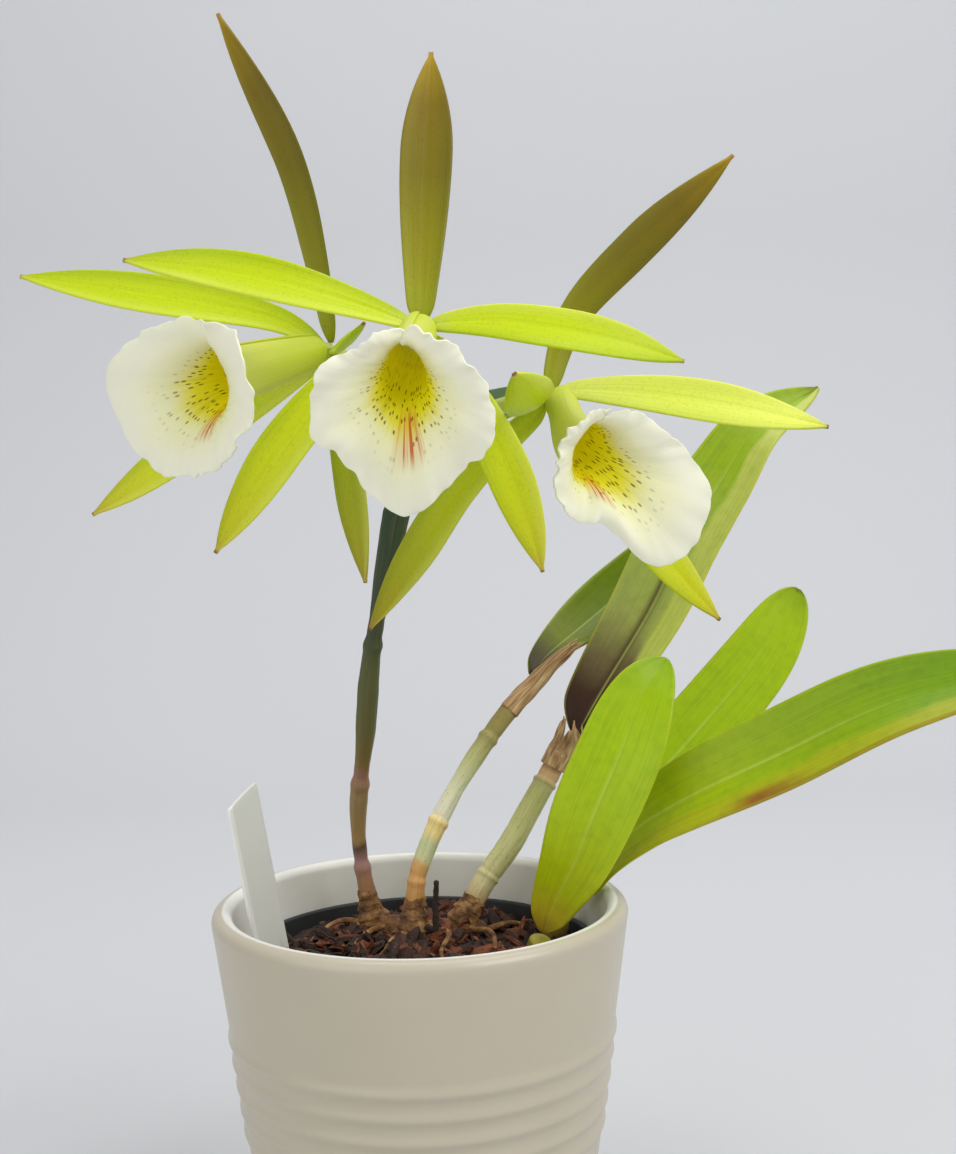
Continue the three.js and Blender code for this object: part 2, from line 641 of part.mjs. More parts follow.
// Flowers: the radius of the lip's rim, and its reach from the throat, are listed from one edge of the
// slit round to the other
const FLOWERS = [
  {
    name: 'left',
    centre: [-13, -34, 201.5],
    facing: [-0.66, -0.75, -0.05],
    aim: [-0.68, -0.68, -0.24],
    throat: [-29.7, -51, 196],
    bell: [-0.7, -0.66, -0.27],
    lipRim: [
      10.3, 10.9, 12.4, 15, 16.4, 17.4, 17.1, 16.7, 15.7, 14.8, 14.6, 14.7, 15.1,
      15.8, 17.4, 19.4, 20.8, 21.6, 23.6, 21, 17.6, 15.4, 13.2, 11.6, 10.4,
    ],
    lipReach: [3, 6, 7.5, 8, 8.5, 9.5, 11, 12, 12.5, 12.5, 12, 10, 6, 3],
    phase: 0.9,
    pedicel: [[0.5, -12.2, 185.3], [-3.4, -17.4, 190.6], [-8.6, -27, 198]],
    sepals: {
      sepal_dorsal: {
        width: 7.8,
        path: [[-13.2, -34.4, 204.5], [-15.2, -34, 218.2], [-19.6, -37, 237.4], [-31.7, -42, 262.7]],
      },
      sepal_left: {
        width: 8.4,
        path: [
          [-15, -33.6, 200], [-26, -33, 193], [-38.4, -32, 185.6], [-53.4, -31, 175.6], [-61, -30, 170.8],
        ],
      },
      sepal_right: {
        width: 8,
        path: [[-12.2, -36.4, 199], [-11.2, -38, 187.1], [-8.9, -40, 170.9], [-7.5, -38, 156.9]],
      },
    },
    petals: {
      petal_left: {
        width: 8.4,
        facing: [-0.2, -0.9, 0.4],
        path: [
          [-16.1, -33.8, 203.3], [-22, -33.4, 206.8], [-35, -33, 210.4],
          [-55, -32, 214], [-73, -31, 217],
        ],
      },
      petal_right: {
        width: 7,
        facing: [-0.7, -0.1, 0.7],
        path: [[-11.6, -38.4, 201.4], [-9.2, -43, 202], [-7, -50, 203.2], [-5.4, -55, 204.6]],
      },
    },
  },
  {
    name: 'centre',
    centre: [4.7, -58, 202.9],
    facing: [0.02, -1, 0.02],
    aim: [-0.07, -0.92, -0.38],
    throat: [3.1, -80, 194.5],
    bell: [-0.07, -0.9, -0.43],
    lipRim: [
      7.3, 9.8, 10.2, 10.8, 11.2, 12, 13.7, 15, 16.4, 17.2, 17.2, 19.2, 22.4,
      20.8, 17.4, 15.8, 17, 16, 14.4, 13.2, 11, 9.4, 9.4, 8.8, 7.6,
    ],
    lipReach: [3, 6, 7, 7.5, 8, 8, 7.5, 8, 8, 7.5, 7, 6, 3],
    phase: 2.1,
    pedicel: [[2.4, -13.2, 185.6], [3.6, -19.6, 190.4], [4.4, -38, 199]],
    sepals: {
      sepal_dorsal: {
        width: 9.6,
        path: [[4.8, -58, 205.2], [5.9, -50, 228.6], [7.3, -38, 255.9]],
      },
      sepal_left: {
        width: 8.4,
        path: [
          [2.6, -58, 201.2], [-8.4, -60, 195], [-18.3, -62, 184.6], [-27.6, -61, 171.6], [-32.7, -58, 164.3],
        ],
      },
      sepal_right: {
        width: 8.2,
        path: [
          [6.6, -58, 201], [12.4, -60, 192.2], [18.8, -62, 179.8], [23.3, -61, 167.4], [25.6, -58, 159.7],
        ],
      },
    },
    petals: {
      petal_left: {
        width: 8.2,
        facing: [0, -0.9, 0.4],
        path: [
          [2.6, -59.6, 204], [-7.3, -61.4, 207.6], [-20.9, -63, 211.5],
          [-33.9, -62, 214.2], [-47.2, -58, 216.2],
        ],
      },
      petal_right: {
        width: 8.2,
        facing: [0, -0.9, 0.4],
        path: [
          [7, -59.6, 203.6], [17, -61.4, 203.8], [29.1, -63, 202], [40.4, -62, 199.5], [51.2, -58, 196.5],
        ],
      },
    },
  },
  {
    name: 'right',
    centre: [28.3, -34, 191.1],
    facing: [0.45, -0.88, -0.05],
    aim: [0.36, -0.82, -0.43],
    throat: [33.4, -50, 182],
    bell: [0.58, -0.68, -0.44],
    lipRim: [
      7.9, 9.4, 11, 11.9, 12.6, 15.2, 19.2, 22, 23, 22.8, 19.6, 13.2, 10.4,
      11.4, 11.6, 11.4, 10.4, 10, 10, 10.6, 10.4, 10.2, 9.8, 8.7, 7.9,
    ],
    lipReach: [3, 7, 10, 14, 17, 16, 11, 7, 5.5, 4.5, 4.5, 4.5, 3],
    phase: 4.2,
    pedicel: [[4.0, -11.6, 184.7], [11, -15.8, 188.2], [20, -24.5, 190.6]],
    sepals: {
      sepal_dorsal: {
        width: 8.2,
        path: [
          [28.6, -34, 193.6], [33, -31, 206.8], [45.4, -30, 220.2],
          [56.6, -31, 230.1], [64.2, -34, 236.6],
        ],
      },
      sepal_left: {
        width: 8,
        path: [
          [26.5, -35.2, 189.1], [18.7, -38, 182.5], [10, -41, 174],
          [1.7, -42, 161.8], [-7, -38, 147.9],
        ],
      },
      sepal_right: {
        width: 8.4,
        path: [
          [29.8, -33.8, 188.8], [37.6, -34, 176.8], [46.8, -34, 164.4],
          [53.7, -33, 156], [61.2, -31, 147.7],
        ],
      },
    },
    petals: {
      petal_left: {
        width: 10,
        facing: [-0.5, 0.2, 0.8],
        path: [
          [25.3, -38, 190.6], [25.2, -46, 189.5], [24.4, -58, 189.5],
          [22.6, -70, 191.4], [20.6, -80, 193.8],
        ],
      },
      petal_right: {
        width: 9,
        facing: [0.2, -0.9, 0.4],
        path: [[31.2, -33.9, 192.6], [42.8, -34.1, 192.2], [63.4, -34, 189], [82.4, -32, 184.9]],
      },
    },
  },
];

for (const flower of FLOWERS) {
  const centre = vec(flower.centre);
  const facing = vec(flower.facing).normalize();
  flower.lipAim = vec(flower.aim).normalize();
  flower.lipThroat = vec(flower.throat);
  flower.lipAxis = vec(flower.bell).normalize();
  flower.lipUp = new THREE.Vector3(0, 0, 1).addScaledVector(flower.lipAxis, -flower.lipAxis.z).normalize();
  flower.lipSide = new THREE.Vector3().crossVectors(flower.lipAxis, flower.lipUp);
  flower.lipRoot = centre.clone().addScaledVector(facing, LIP_ROOT_OFFSET);

  const tepal = { thick: TEPAL_THICKNESS, waves: TEPAL_WAVES, phase: flower.phase, rows: TEPAL_ROWS };
  for (const [part, sepal] of Object.entries(flower.sepals)) {
    add(`${flower.name}_flower_${part}`, blade({
      ...tepal, shape: SEPAL_SHAPE, channel: SEPAL_CHANNEL, wave: SEPAL_WAVE, facing: flower.facing, ...sepal,
    }), part === 'sepal_dorsal' ? 'tepal_olive' : 'tepal');
  }
  for (const [part, petal] of Object.entries(flower.petals)) {
    add(`${flower.name}_flower_${part}`, blade({
      ...tepal, shape: PETAL_SHAPE, channel: PETAL_CHANNEL, wave: PETAL_WAVE, ...petal,
    }), 'tepal');
  }
  add(`${flower.name}_flower_lip`, lip(flower), 'lip');

  const inTube = (share, rise) => tubePoint(flower, share).addScaledVector(flower.lipUp, rise).toArray();
  const columnFoot = centre.clone().addScaledVector(facing, FLOWER_JOINT_GAP).toArray();
  const ovaryEnd = centre.clone().addScaledVector(facing, -FLOWER_JOINT_GAP).toArray();
  add(`${flower.name}_flower_column`, stem({
    path: [columnFoot, inTube(...COLUMN_BEND), inTube(...COLUMN_TIP)],
    radii: COLUMN_RADII,
    rings: 7,
  }), 'column');
  add(`${flower.name}_flower_ovary`, stem({
    path: [...flower.pedicel, ovaryEnd],
    radii: OVARY_RADII,
    rings: 9,
  }), 'column');
}

export default model;
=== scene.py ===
"""Looks of a potted orchid with three open flowers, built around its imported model."""
import math
import random

import bmesh
import bpy
from bpy.props import FloatProperty, FloatVectorProperty, IntProperty, PointerProperty
from mathutils import Euler, Matrix, Vector, noise


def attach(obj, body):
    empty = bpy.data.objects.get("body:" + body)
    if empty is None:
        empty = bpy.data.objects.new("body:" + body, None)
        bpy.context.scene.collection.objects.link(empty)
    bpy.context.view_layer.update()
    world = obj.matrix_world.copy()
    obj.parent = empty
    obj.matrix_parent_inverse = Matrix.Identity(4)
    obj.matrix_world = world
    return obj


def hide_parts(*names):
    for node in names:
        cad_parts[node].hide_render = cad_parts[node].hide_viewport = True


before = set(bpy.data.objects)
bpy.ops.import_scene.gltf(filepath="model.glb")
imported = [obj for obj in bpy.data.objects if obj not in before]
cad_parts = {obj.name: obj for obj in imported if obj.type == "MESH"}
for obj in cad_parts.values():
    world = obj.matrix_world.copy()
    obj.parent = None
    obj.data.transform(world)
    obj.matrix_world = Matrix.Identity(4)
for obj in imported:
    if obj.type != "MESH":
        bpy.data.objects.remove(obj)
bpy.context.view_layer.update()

bl_info = {
    "name": "Potted Orchid Looks",
    "version": (1, 0, 0),
    "blender": (4, 5, 0),
    "location": "View3D > Sidebar > Orchid",
    "description": "Finely made pieces and finishes for a potted orchid",
    "category": "Mesh",
}

MM = 0.001
BODY = "root"


def srgb(red, green, blue):
    """Linear colour of a screen colour given in 0..255."""
    parts = [value / 255 for value in (red, green, blue)]
    return tuple(p / 12.92 if p < 0.04045 else ((p + 0.055) / 1.055) ** 2.4 for p in parts)


# Cover pot, millimetres
RIM_RADIUS = 45
SHOULDER_HEIGHT = 82.5
POT_HEIGHT = 85
POT_TAPER = 0.135
POT_WALL = 4.5
POT_FLOOR = 5
RING_HEIGHTS = (37.1, 42.2, 47.3, 52.4, 57.5)
RING_HALF_HEIGHT = 1.7

# Nursery pot and bark
GAP = 0.35
NURSERY_CLEARANCE = 1.0
NURSERY_WALL = 1.2
NURSERY_FLOOR = 1.4
NURSERY_TOP = 75
BARK_LEVEL = 72.6
BARK_MOUND = 1.6
HEAP_HEIGHT = 2.2
HEAP_REACH = 13
# A chip's least and most length, width and thickness as shares of its usual length, and how rough it is in each
CHIP_SHARES = ((0.7, 1.5), (0.35, 0.75), (0.14, 0.34))
CHIP_ROUGHNESS = (0.09, 0.1, 0.16)

# Rhizome, short growths, stub, stalk and canes: path, evenly spaced radii
RHIZOME = {
    "path": [(-15.5, 21, 73.6), (-9, 17.5, 74), (-1.5, 11, 74.2), (4, 11.5, 74), (10, 14.5, 73.8), (15, 13, 73)],
    "radii": (1.6, 2.6, 2.3, 3.1, 2.4, 2.7, 2.6, 1.5),
}
STUB = {"path": [(3, 6.4, 69), (3, 6.2, 80), (3.4, 6, 87.5)], "radii": (0.8, 0.7, 0.55)}
GROWTHS = {
    "growth_front": {"path": [(25.4, 4.4, 69), (25.8, 4, 72.5), (26.4, 3.4, 74.9)], "radii": (2.4, 2.9, 2.6)},
    "growth_rear": {"path": [(29, 12.6, 69), (29.8, 12.4, 74), (31, 12, 79.4)], "radii": (2.4, 2.9, 2.7)},
}
JOINT_SWELL = 0.32
JOINT_WAIST = 0.14
STALK = {"path": [(-1.8, -5.6, 171.9), (-0.6, -7.8, 177), (1.4, -11, 184.4)], "radii": (1.7, 1.6, 1.9)}
CANES = {
    "cane_flowering": {
        "path": [
            (-12.2, 19.6, 77.4), (-14.2, 19.6, 89), (-14.5, 18, 100), (-12.1, 13, 118.5),
            (-10, 8, 136.5), (-5.2, 0, 159.4), (-2.6, -4, 170.8),
        ],
        "radii": (2.3, 1.7, 1.65, 2.1, 1.7, 2.3, 2.4, 2.0, 1.7, 2.3, 2.7, 3.0),
        "joints": (0.10, 0.31, 0.66),
        "colours": (
            (0.0, 150, 110, 70), (0.07, 165, 120, 85), (0.12, 165, 125, 120),
            (0.155, 90, 65, 50), (0.18, 160, 130, 75), (0.28, 150, 125, 80),
            (0.335, 150, 105, 85), (0.37, 120, 100, 45), (0.45, 95, 92, 40),
            (0.62, 80, 86, 36), (0.68, 52, 66, 30), (1.0, 30, 58, 22),
        ),
    },
    "cane_middle": {
        "path": [
            (-1.7, 10.4, 77.8), (-1.2, 11, 86.2), (1.2, 13, 93), (6.4, 16, 103.2),
            (13.6, 20, 113.8), (21.2, 24, 123), (26.6, 26, 128.6),
        ],
        "radii": (2.6, 1.9, 2.1, 2.2, 1.9, 2.2, 2.1, 2.2, 1.8),
        "joints": (0.13, 0.36, 0.72),
        "colours": (
            (0.0, 190, 140, 75), (0.12, 222, 165, 95), (0.19, 215, 165, 95),
            (0.21, 215, 215, 160), (0.28, 205, 212, 160), (0.32, 250, 226, 150),
            (0.36, 250, 220, 140), (0.39, 238, 234, 206), (0.5, 222, 222, 180),
            (0.62, 190, 190, 124), (0.76, 150, 138, 72), (1.0, 140, 108, 60),
        ),
    },
    "cane_right": {
        "path": [
            (9.8, 14, 77.5), (14, 16, 84.4), (20, 19, 92), (25.2, 22, 100.2), (30.2, 25, 108), (32.6, 26.4, 112.4),
        ],
        "radii": (2.6, 2.6, 2.8, 2.7, 2.6, 2.2),
        "joints": (0.22, 0.8),
        "colours": (
            (0.0, 160, 120, 75), (0.08, 200, 170, 120), (0.16, 225, 212, 160),
            (0.3, 216, 212, 150), (0.5, 206, 204, 138), (0.7, 184, 184, 112),
            (0.78, 175, 170, 115), (0.82, 205, 165, 115), (1.0, 165, 125, 80),
        ),
    },
}

# Leaves and tepals: midrib path, side that they face, width, channel depth across them
LEAF_SHAPE = {"base": 0.3, "widest": 0.55, "swell": 0.9, "hold": 2.6, "tip": 0.62, "end": 0.06}
CLASPING_SHAPE = {"base": 0.62, "widest": 0.45, "swell": 0.9, "hold": 2.2, "tip": 0.75, "end": 0.06}
SEPAL_SHAPE = {"base": 0.46, "widest": 0.6, "swell": 1.1, "hold": 1.9, "tip": 0.95, "end": 0.09}
PETAL_SHAPE = {"base": 0.26, "widest": 0.52, "swell": 0.95, "hold": 2.1, "tip": 0.9, "end": 0.09}
ROW_SPACING = 1.25
WAVE_LEAD = 0.06
CREASE_WIDTH = 0.09
# Share of a blade over which its foot narrows, and how far towards the flower's middle a tepal's foot runs on
FOOT_SHARE = 0.07
HUB_REACH = 0.6
LEAF_BASICS = {"shape": LEAF_SHAPE, "wave": 0.5, "waves": 1.3}
LEAVES = {
    "leaf_front": {
        "path": [
            (26.6, 3.2, 76), (29.7, 0.5, 84.5), (33.4, -2, 92.4), (38, -4, 104.4),
            (43, -4, 115.5), (49.5, 0, 129.3), (54.8, 4, 136),
        ],
        "facing": (-0.2, -1, 0.1), "width": 18.5, "channel": 2.2,
        "colours": (
            (0.0, 150, 120, 40), (0.06, 200, 184, 40), (0.15, 186, 200, 14),
            (0.4, 172, 200, 2), (0.75, 160, 192, 0), (1.0, 140, 176, 0),
        ),
    },
    "leaf_mid_right": {
        "path": [
            (31.4, 13.2, 81.2), (34.2, 15.4, 87), (39.4, 18, 93), (50.5, 24, 102.2),
            (65, 28, 116.4), (79.8, 32, 132.6), (90, 36, 148),
        ],
        "facing": (0, -1, 0.25), "width": 17.5, "channel": 1.8,
        "shape": {**LEAF_SHAPE, "hold": 3.4, "tip": 0.52},
        "colours": (
            (0.0, 140, 172, 4), (0.3, 164, 196, 2), (0.85, 168, 196, 2),
            (0.97, 146, 174, 2), (1.0, 110, 110, 10),
        ),
    },
    "leaf_long_right": {
        "path": [
            (33.4, 10.6, 80.2), (40, 8, 90.4), (48.4, 4, 98.8), (58.2, -1, 105.9),
            (76.2, -8, 116), (98.6, -16, 128.1), (128, -24, 136.7),
        ],
        "facing": (-0.1, -0.75, 0.65), "width": 19.5, "channel": 3,
        "colours": (
            (0.0, 168, 182, 8), (0.2, 170, 190, 2), (0.45, 150, 180, 0),
            (0.7, 124, 162, 0), (1.0, 112, 152, 0),
        ),
        "strip": (0.35, 0.75, srgb(176, 176, 12)), "stain": (0.40, 0.10, srgb(150, 96, 24)),
    },
    "leaf_upper": {
        "path": [
            (36.4, 27.4, 115.4), (42, 29.5, 124.5), (55, 35, 144), (63.6, 38.5, 160),
            (73, 42, 174), (82, 46, 186), (99, 55, 196),
        ],
        "facing": (-0.35, -0.9, 0.2), "width": 19, "channel": 4, "shape": CLASPING_SHAPE,
        # The grey-green in these colours is partly painted sheen.
        "colours": (
            (0.0, 46, 26, 18), (0.08, 64, 38, 26), (0.15, 110, 96, 60),
            (0.24, 152, 160, 78), (0.42, 156, 178, 66), (0.6, 150, 178, 12),
            (0.9, 150, 178, 4), (0.97, 128, 144, 10), (1.0, 96, 66, 34),
        ),
        # Strip: painted light, a paler grey-green over one half of the V. Channel shade: painted shadow, a dark line
        # down the channel near the base.
        "strip": (0.3, 1.0, srgb(190, 200, 90)), "channel_shade": srgb(70, 44, 28),
    },
    "leaf_upper_back": {
        "path": [
            (26, 28.8, 129.6), (30.5, 34, 133.6), (37.2, 41, 138), (47.5, 50, 145), (60.5, 57, 155), (71, 62, 166),
        ],
        "facing": (-0.5, -0.85, 0.1), "width": 15, "channel": 3,
        "colours": (
            (0.0, 46, 32, 16), (0.07, 66, 58, 16), (0.18, 112, 122, 6),
            (0.4, 122, 146, 2), (1.0, 134, 164, 2),
        ),
    },
    "leaf_flowering": {
        "path": [
            (-2.8, -1.8, 173), (4, 10, 182), (13, 24, 189), (23.6, 38, 192.5), (34, 50, 194.6), (39, 56, 195),
        ],
        "facing": (0, -0.5, 0.85), "width": 15, "channel": 2.4,
        # Dark greens that are painted shade: this leaf lies in shadow behind the flowers.
        "colours": (
            (0.0, 30, 54, 14), (0.3, 38, 68, 14), (1.0, 58, 92, 14),
        ),
    },
}
# Dried sheaths, torn cuffs round the cane tops: path, radii, half of the turn that each covers in degrees
SHEATHS = {
    "dried_sheath_middle": {
        "path": [(20.4, 23.6, 122), (26.6, 26, 128.6), (30.6, 25.8, 133), (37, 25.6, 138.2)],
        "radii": (2.3, 2.2, 2.3, 2.2, 1.9, 1.7, 1.5, 1.2), "cover": (150, 130, 95, 80, 75, 70, 60, 40),
        "tear": 0.16, "front": (0.3, -1, -0.2),
    },
    "dried_sheath_right": {
        "path": [(30.4, 25.1, 108.4), (32.6, 25.6, 112.4), (34, 23.8, 116), (34.9, 23.2, 120.4)],
        "radii": (3.0, 2.9, 2.8, 2.6, 2.4, 2.2), "cover": (165, 160, 150, 120, 100, 85),
        "tear": 0.42, "front": (-0.3, -1, 0.2),
    },
}

# Label
LABEL_FOOT = Vector((-30, -4, 62))
LABEL_HEAD = Vector((-37, -9.8, 111))
LABEL_ACROSS = Vector((0.62, 0.78, 0.06))
LABEL_WIDTH = 9
LABEL_THICKNESS = 0.8
LABEL_TOP_DROP = 2
LABEL_TOP_SLOPE = 1.5

# Lips: a bent tube, then a bell that leaves the throat along its axis and turns outwards. A flower's rim and
# reach say how far from the bell's axis and how far forward its rim lies, from one edge of the slit to the other
LIP_TUBE_RADIUS = 2.7
LIP_THROAT = 1 / 3
THROAT_SIDE = 3.6
THROAT_FLOOR = 1.2
THROAT_CROWN = 1.6
THROAT_PULL = 1.15
RIM_PULL = 0.9
RIM_FLARE = math.radians(95)
LIP_SLIT = 1.02
LIP_ROOT_OFFSET = 3.6
RUFFLE = 0.5
CRINKLE = 1.3
FRILL = 0.9
FOLD = 0.22
COLUMN_RADII = (1.3, 1.5, 1.8, 1.2)
COLUMN_BEND = (0.08, 0.4)
COLUMN_TIP = (0.55, 0.6)
OVARY_RADII = (0.95, 1.1, 1.4, 1.9, 1.6)
FLOWERS = {
    "left": {
        "centre": (-13, -34, 201.5), "facing": (-0.66, -0.75, -0.05), "aim": (-0.68, -0.68, -0.24),
        "throat": (-29.7, -51, 196), "bell": (-0.7, -0.66, -0.27), "phase": 0.9,
        "rim": (
            10.3, 10.9, 12.4, 15, 16.4, 17.4, 17.1, 16.7, 15.7, 14.8, 14.6, 14.7, 15.1,
            15.8, 17.4, 19.4, 20.8, 21.6, 23.6, 21, 17.6, 15.4, 13.2, 11.6, 10.4,
        ),
        "reach": (3, 6, 7.5, 8, 8.5, 9.5, 11, 12, 12.5, 12.5, 12, 10, 6, 3),
        "pedicel": [(0.5, -12.2, 185.3), (-3.4, -17.4, 190.6), (-8.6, -27, 198)],
        "tepals": {
            "sepal_dorsal": {
                "path": [(-13.2, -34.4, 204.5), (-15.2, -34, 218.2), (-19.6, -37, 237.4), (-31.7, -42, 262.7)],
                "width": 7.8,
            },
            "sepal_left": {
                "path": [
                    (-15, -33.6, 200), (-26, -33, 193), (-38.4, -32, 185.6), (-53.4, -31, 175.6), (-61, -30, 170.8),
                ],
                "kind": "golden", "width": 8.4,
            },
            "sepal_right": {
                "path": [(-12.2, -36.4, 199), (-11.2, -38, 187.1), (-8.9, -40, 170.9), (-7.5, -38, 156.9)],
                "kind": "shaded", "width": 8,
            },
            "petal_left": {
                "path": [
                    (-16.1, -33.8, 203.3), (-22, -33.4, 206.8), (-35, -33, 210.4), (-55, -32, 214), (-73, -31, 217),
                ],
                "width": 8.4, "facing": (-0.2, -0.9, 0.4),
            },
            "petal_right": {
                "path": [(-11.6, -38.4, 201.4), (-9.2, -43, 202), (-7, -50, 203.2), (-5.4, -55, 204.6)],
                "width": 7, "facing": (-0.7, -0.1, 0.7),
            },
        },
    },
    "centre": {
        "centre": (4.7, -58, 202.9), "facing": (0.02, -1, 0.02), "aim": (-0.07, -0.92, -0.38),
        "throat": (3.1, -80, 194.5), "bell": (-0.07, -0.9, -0.43), "phase": 2.1,
        "rim": (
            7.3, 9.8, 10.2, 10.8, 11.2, 12, 13.7, 15, 16.4, 17.2, 17.2, 19.2, 22.4,
            20.8, 17.4, 15.8, 17, 16, 14.4, 13.2, 11, 9.4, 9.4, 8.8, 7.6,
        ),
        "reach": (3, 6, 7, 7.5, 8, 8, 7.5, 8, 8, 7.5, 7, 6, 3),
        "pedicel": [(2.4, -13.2, 185.6), (3.6, -19.6, 190.4), (4.4, -38, 199)],
        "tepals": {
            "sepal_dorsal": {"path": [(4.8, -58, 205.2), (5.9, -50, 228.6), (7.3, -38, 255.9)], "width": 9.6},
            "sepal_left": {
                "path": [
                    (2.6, -58, 201.2), (-8.4, -60, 195), (-18.3, -62, 184.6), (-27.6, -61, 171.6), (-32.7, -58, 164.3),
                ],
                "kind": "golden", "width": 8.4,
            },
            "sepal_right": {
                "path": [
                    (6.6, -58, 201), (12.4, -60, 192.2), (18.8, -62, 179.8), (23.3, -61, 167.4), (25.6, -58, 159.7),
                ],
                "kind": "golden", "width": 8.2,
            },
            "petal_left": {
                "path": [
                    (2.6, -59.6, 204), (-7.3, -61.4, 207.6), (-20.9, -63, 211.5), (-33.9, -62, 214.2),
                    (-47.2, -58, 216.2),
                ],
                "width": 8.2, "facing": (0, -0.9, 0.4),
            },
            "petal_right": {
                "path": [
                    (7, -59.6, 203.6), (17, -61.4, 203.8), (29.1, -63, 202), (40.4, -62, 199.5), (51.2, -58, 196.5),
                ],
                "width": 8.2, "facing": (0, -0.9, 0.4),
            },
        },
    },
    "right": {
        "centre": (28.3, -34, 191.1), "facing": (0.45, -0.88, -0.05), "aim": (0.36, -0.82, -0.43),
        "throat": (33.4, -50, 182), "bell": (0.58, -0.68, -0.44), "phase": 4.2,
        "rim": (
            7.9, 9.4, 11, 11.9, 12.6, 15.2, 19.2, 22, 23, 22.8, 19.6, 13.2, 10.4,
            11.4, 11.6, 11.4, 10.4, 10, 10, 10.6, 10.4, 10.2, 9.8, 8.7, 7.9,
        ),
        "reach": (3, 7, 10, 14, 17, 16, 11, 7, 5.5, 4.5, 4.5, 4.5, 3),
        "pedicel": [(4.0, -11.6, 184.7), (11, -15.8, 188.2), (20, -24.5, 190.6)],
        "tepals": {
            "sepal_dorsal": {
                "path": [
                    (28.6, -34, 193.6), (33, -31, 206.8), (45.4, -30, 220.2), (56.6, -31, 230.1), (64.2, -34, 236.6),
                ],
                "width": 8.2,
            },
            "sepal_left": {
                "path": [
                    (26.5, -35.2, 189.1), (18.7, -38, 182.5), (10, -41, 174), (1.7, -42, 161.8), (-7, -38, 147.9),
                ],
                "kind": "shaded", "width": 8,
            },
            "sepal_right": {
                "path": [
                    (29.8, -33.8, 188.8), (37.6, -34, 176.8), (46.8, -34, 164.4), (53.7, -33, 156), (61.2, -31, 147.7),
                ],
                "kind": "golden", "width": 8.4,
            },
            "petal_left": {
                "path": [
                    (25.3, -38, 190.6), (25.2, -46, 189.5), (24.4, -58, 189.5), (22.6, -70, 191.4), (20.6, -80, 193.8),
                ],
                "width": 10, "facing": (-0.5, 0.2, 0.8),
            },
            "petal_right": {
                "path": [(31.2, -33.9, 192.6), (42.8, -34.1, 192.2), (63.4, -34, 189), (82.4, -32, 184.9)],
                # Pale ramp: painted light on this brightly lit petal.
                "kind": "pale", "width": 9, "facing": (0.2, -0.9, 0.4),
            },
        },
    },
}

# Stage, metres; the sensor is in millimetres
CAMERA_PLACE = (0.014, -0.343, 0.1795)
SENSOR_WIDTH = 36
CLIP_START = 0.01
FLOOR_REACH = 1.6
FLOOR_BACK = 0.5
FLOOR_BEND = 0.35
LIGHT_TARGET = Vector((0.01, 0, 0.14))
# Soft lights: name, the setting that holds its power, share of that power, size, place
LIGHTS = (
    ("Key", "key_power", 1, 0.8, (0.85, -0.6, 1.0)),
    ("Fill", "fill_power", 1, 1.2, (-0.8, -0.8, 0.6)),
    ("Top", "key_power", 0.6, 0.8, (0.1, 0.25, 1.2)),
)
WORLD_STRENGTH = 0.42


class Route:
    """Smooth curve through points, walked evenly by length."""

    PIECES = 48

    def __init__(self, points):
        self.points = [Vector(p) for p in points]
        ends = (2 * self.points[0] - self.points[1], 2 * self.points[-1] - self.points[-2])
        self.control = [ends[0], *self.points, ends[1]]
        self.spans = len(self.points) - 1
        count = self.spans * self.PIECES
        self.walk = [self.raw(i / count) for i in range(count + 1)]
        self.lengths = [0.0]
        for before, after in zip(self.walk, self.walk[1:]):
            self.lengths.append(self.lengths[-1] + (after - before).length)
        self.length = self.lengths[-1]

    def raw(self, t):
        """Point at t of the curve's own parameter, centripetal through its points."""
        span = min(int(t * self.spans), self.spans - 1)
        p0, p1, p2, p3 = self.control[span:span + 4]
        local = t * self.spans - span
        d0, d1, d2 = ((b - a).length ** 0.5 for a, b in ((p0, p1), (p1, p2), (p2, p3)))
        start = ((p1 - p0) / d0 - (p2 - p0) / (d0 + d1) + (p2 - p1) / d1) * d1
        end = ((p2 - p1) / d1 - (p3 - p1) / (d1 + d2) + (p3 - p2) / d2) * d1
        bend = 2 * p1 - 2 * p2 + start + end
        turn = 3 * p2 - 3 * p1 - 2 * start - end
        return p1 + start * local + turn * local ** 2 + bend * local ** 3

    def at(self, t):
        """Point at share t of the length."""
        target = min(max(t, 0.0), 1.0) * self.length
        low, high = 0, len(self.lengths) - 1
        while high - low > 1:
            middle = (low + high) // 2
            if self.lengths[middle] <= target:
                low = middle
            else:
                high = middle
        share = (target - self.lengths[low]) / (self.lengths[high] - self.lengths[low])
        return self.walk[low].lerp(self.walk[high], share)

    def along(self, t):
        """Direction of travel at share t of the length."""
        step = 0.004
        return (self.at(min(t + step, 1)) - self.at(max(t - step, 0))).normalized()


def listed(values, t):
    """Value at t in 0..1 along evenly spaced values."""
    place = min(max(t, 0), 1) * (len(values) - 1)
    low = min(int(place), len(values) - 2)
    return values[low] + (values[low + 1] - values[low]) * (place - low)


def bump_at(t, middle, width):
    """Round bump of height 1 and a given half width."""
    return math.exp(-((t - middle) / width) ** 2)


def width_share(shape, t):
    """Share of a blade's full width at t."""
    if t < shape["widest"]:
        rise = math.sin(math.pi / 2 * t / shape["widest"]) ** shape["swell"]
        return shape["base"] + (1 - shape["base"]) * rise
    rest = (t - shape["widest"]) / (1 - shape["widest"])
    return max((1 - rest ** shape["hold"]) ** shape["tip"], shape["end"])


def grid(columns, rows, place):
    """Sheet with a UV map, each vertex put in place by a function of its UV, millimetres."""
    bm = bmesh.new()
    bm.loops.layers.uv.new("UVMap")
    bmesh.ops.create_grid(bm, x_segments=columns, y_segments=rows, size=0.5, calc_uvs=True)
    for vert in bm.verts:
        vert.co = place(vert.co.x + 0.5, vert.co.y + 0.5) * MM
    return bm


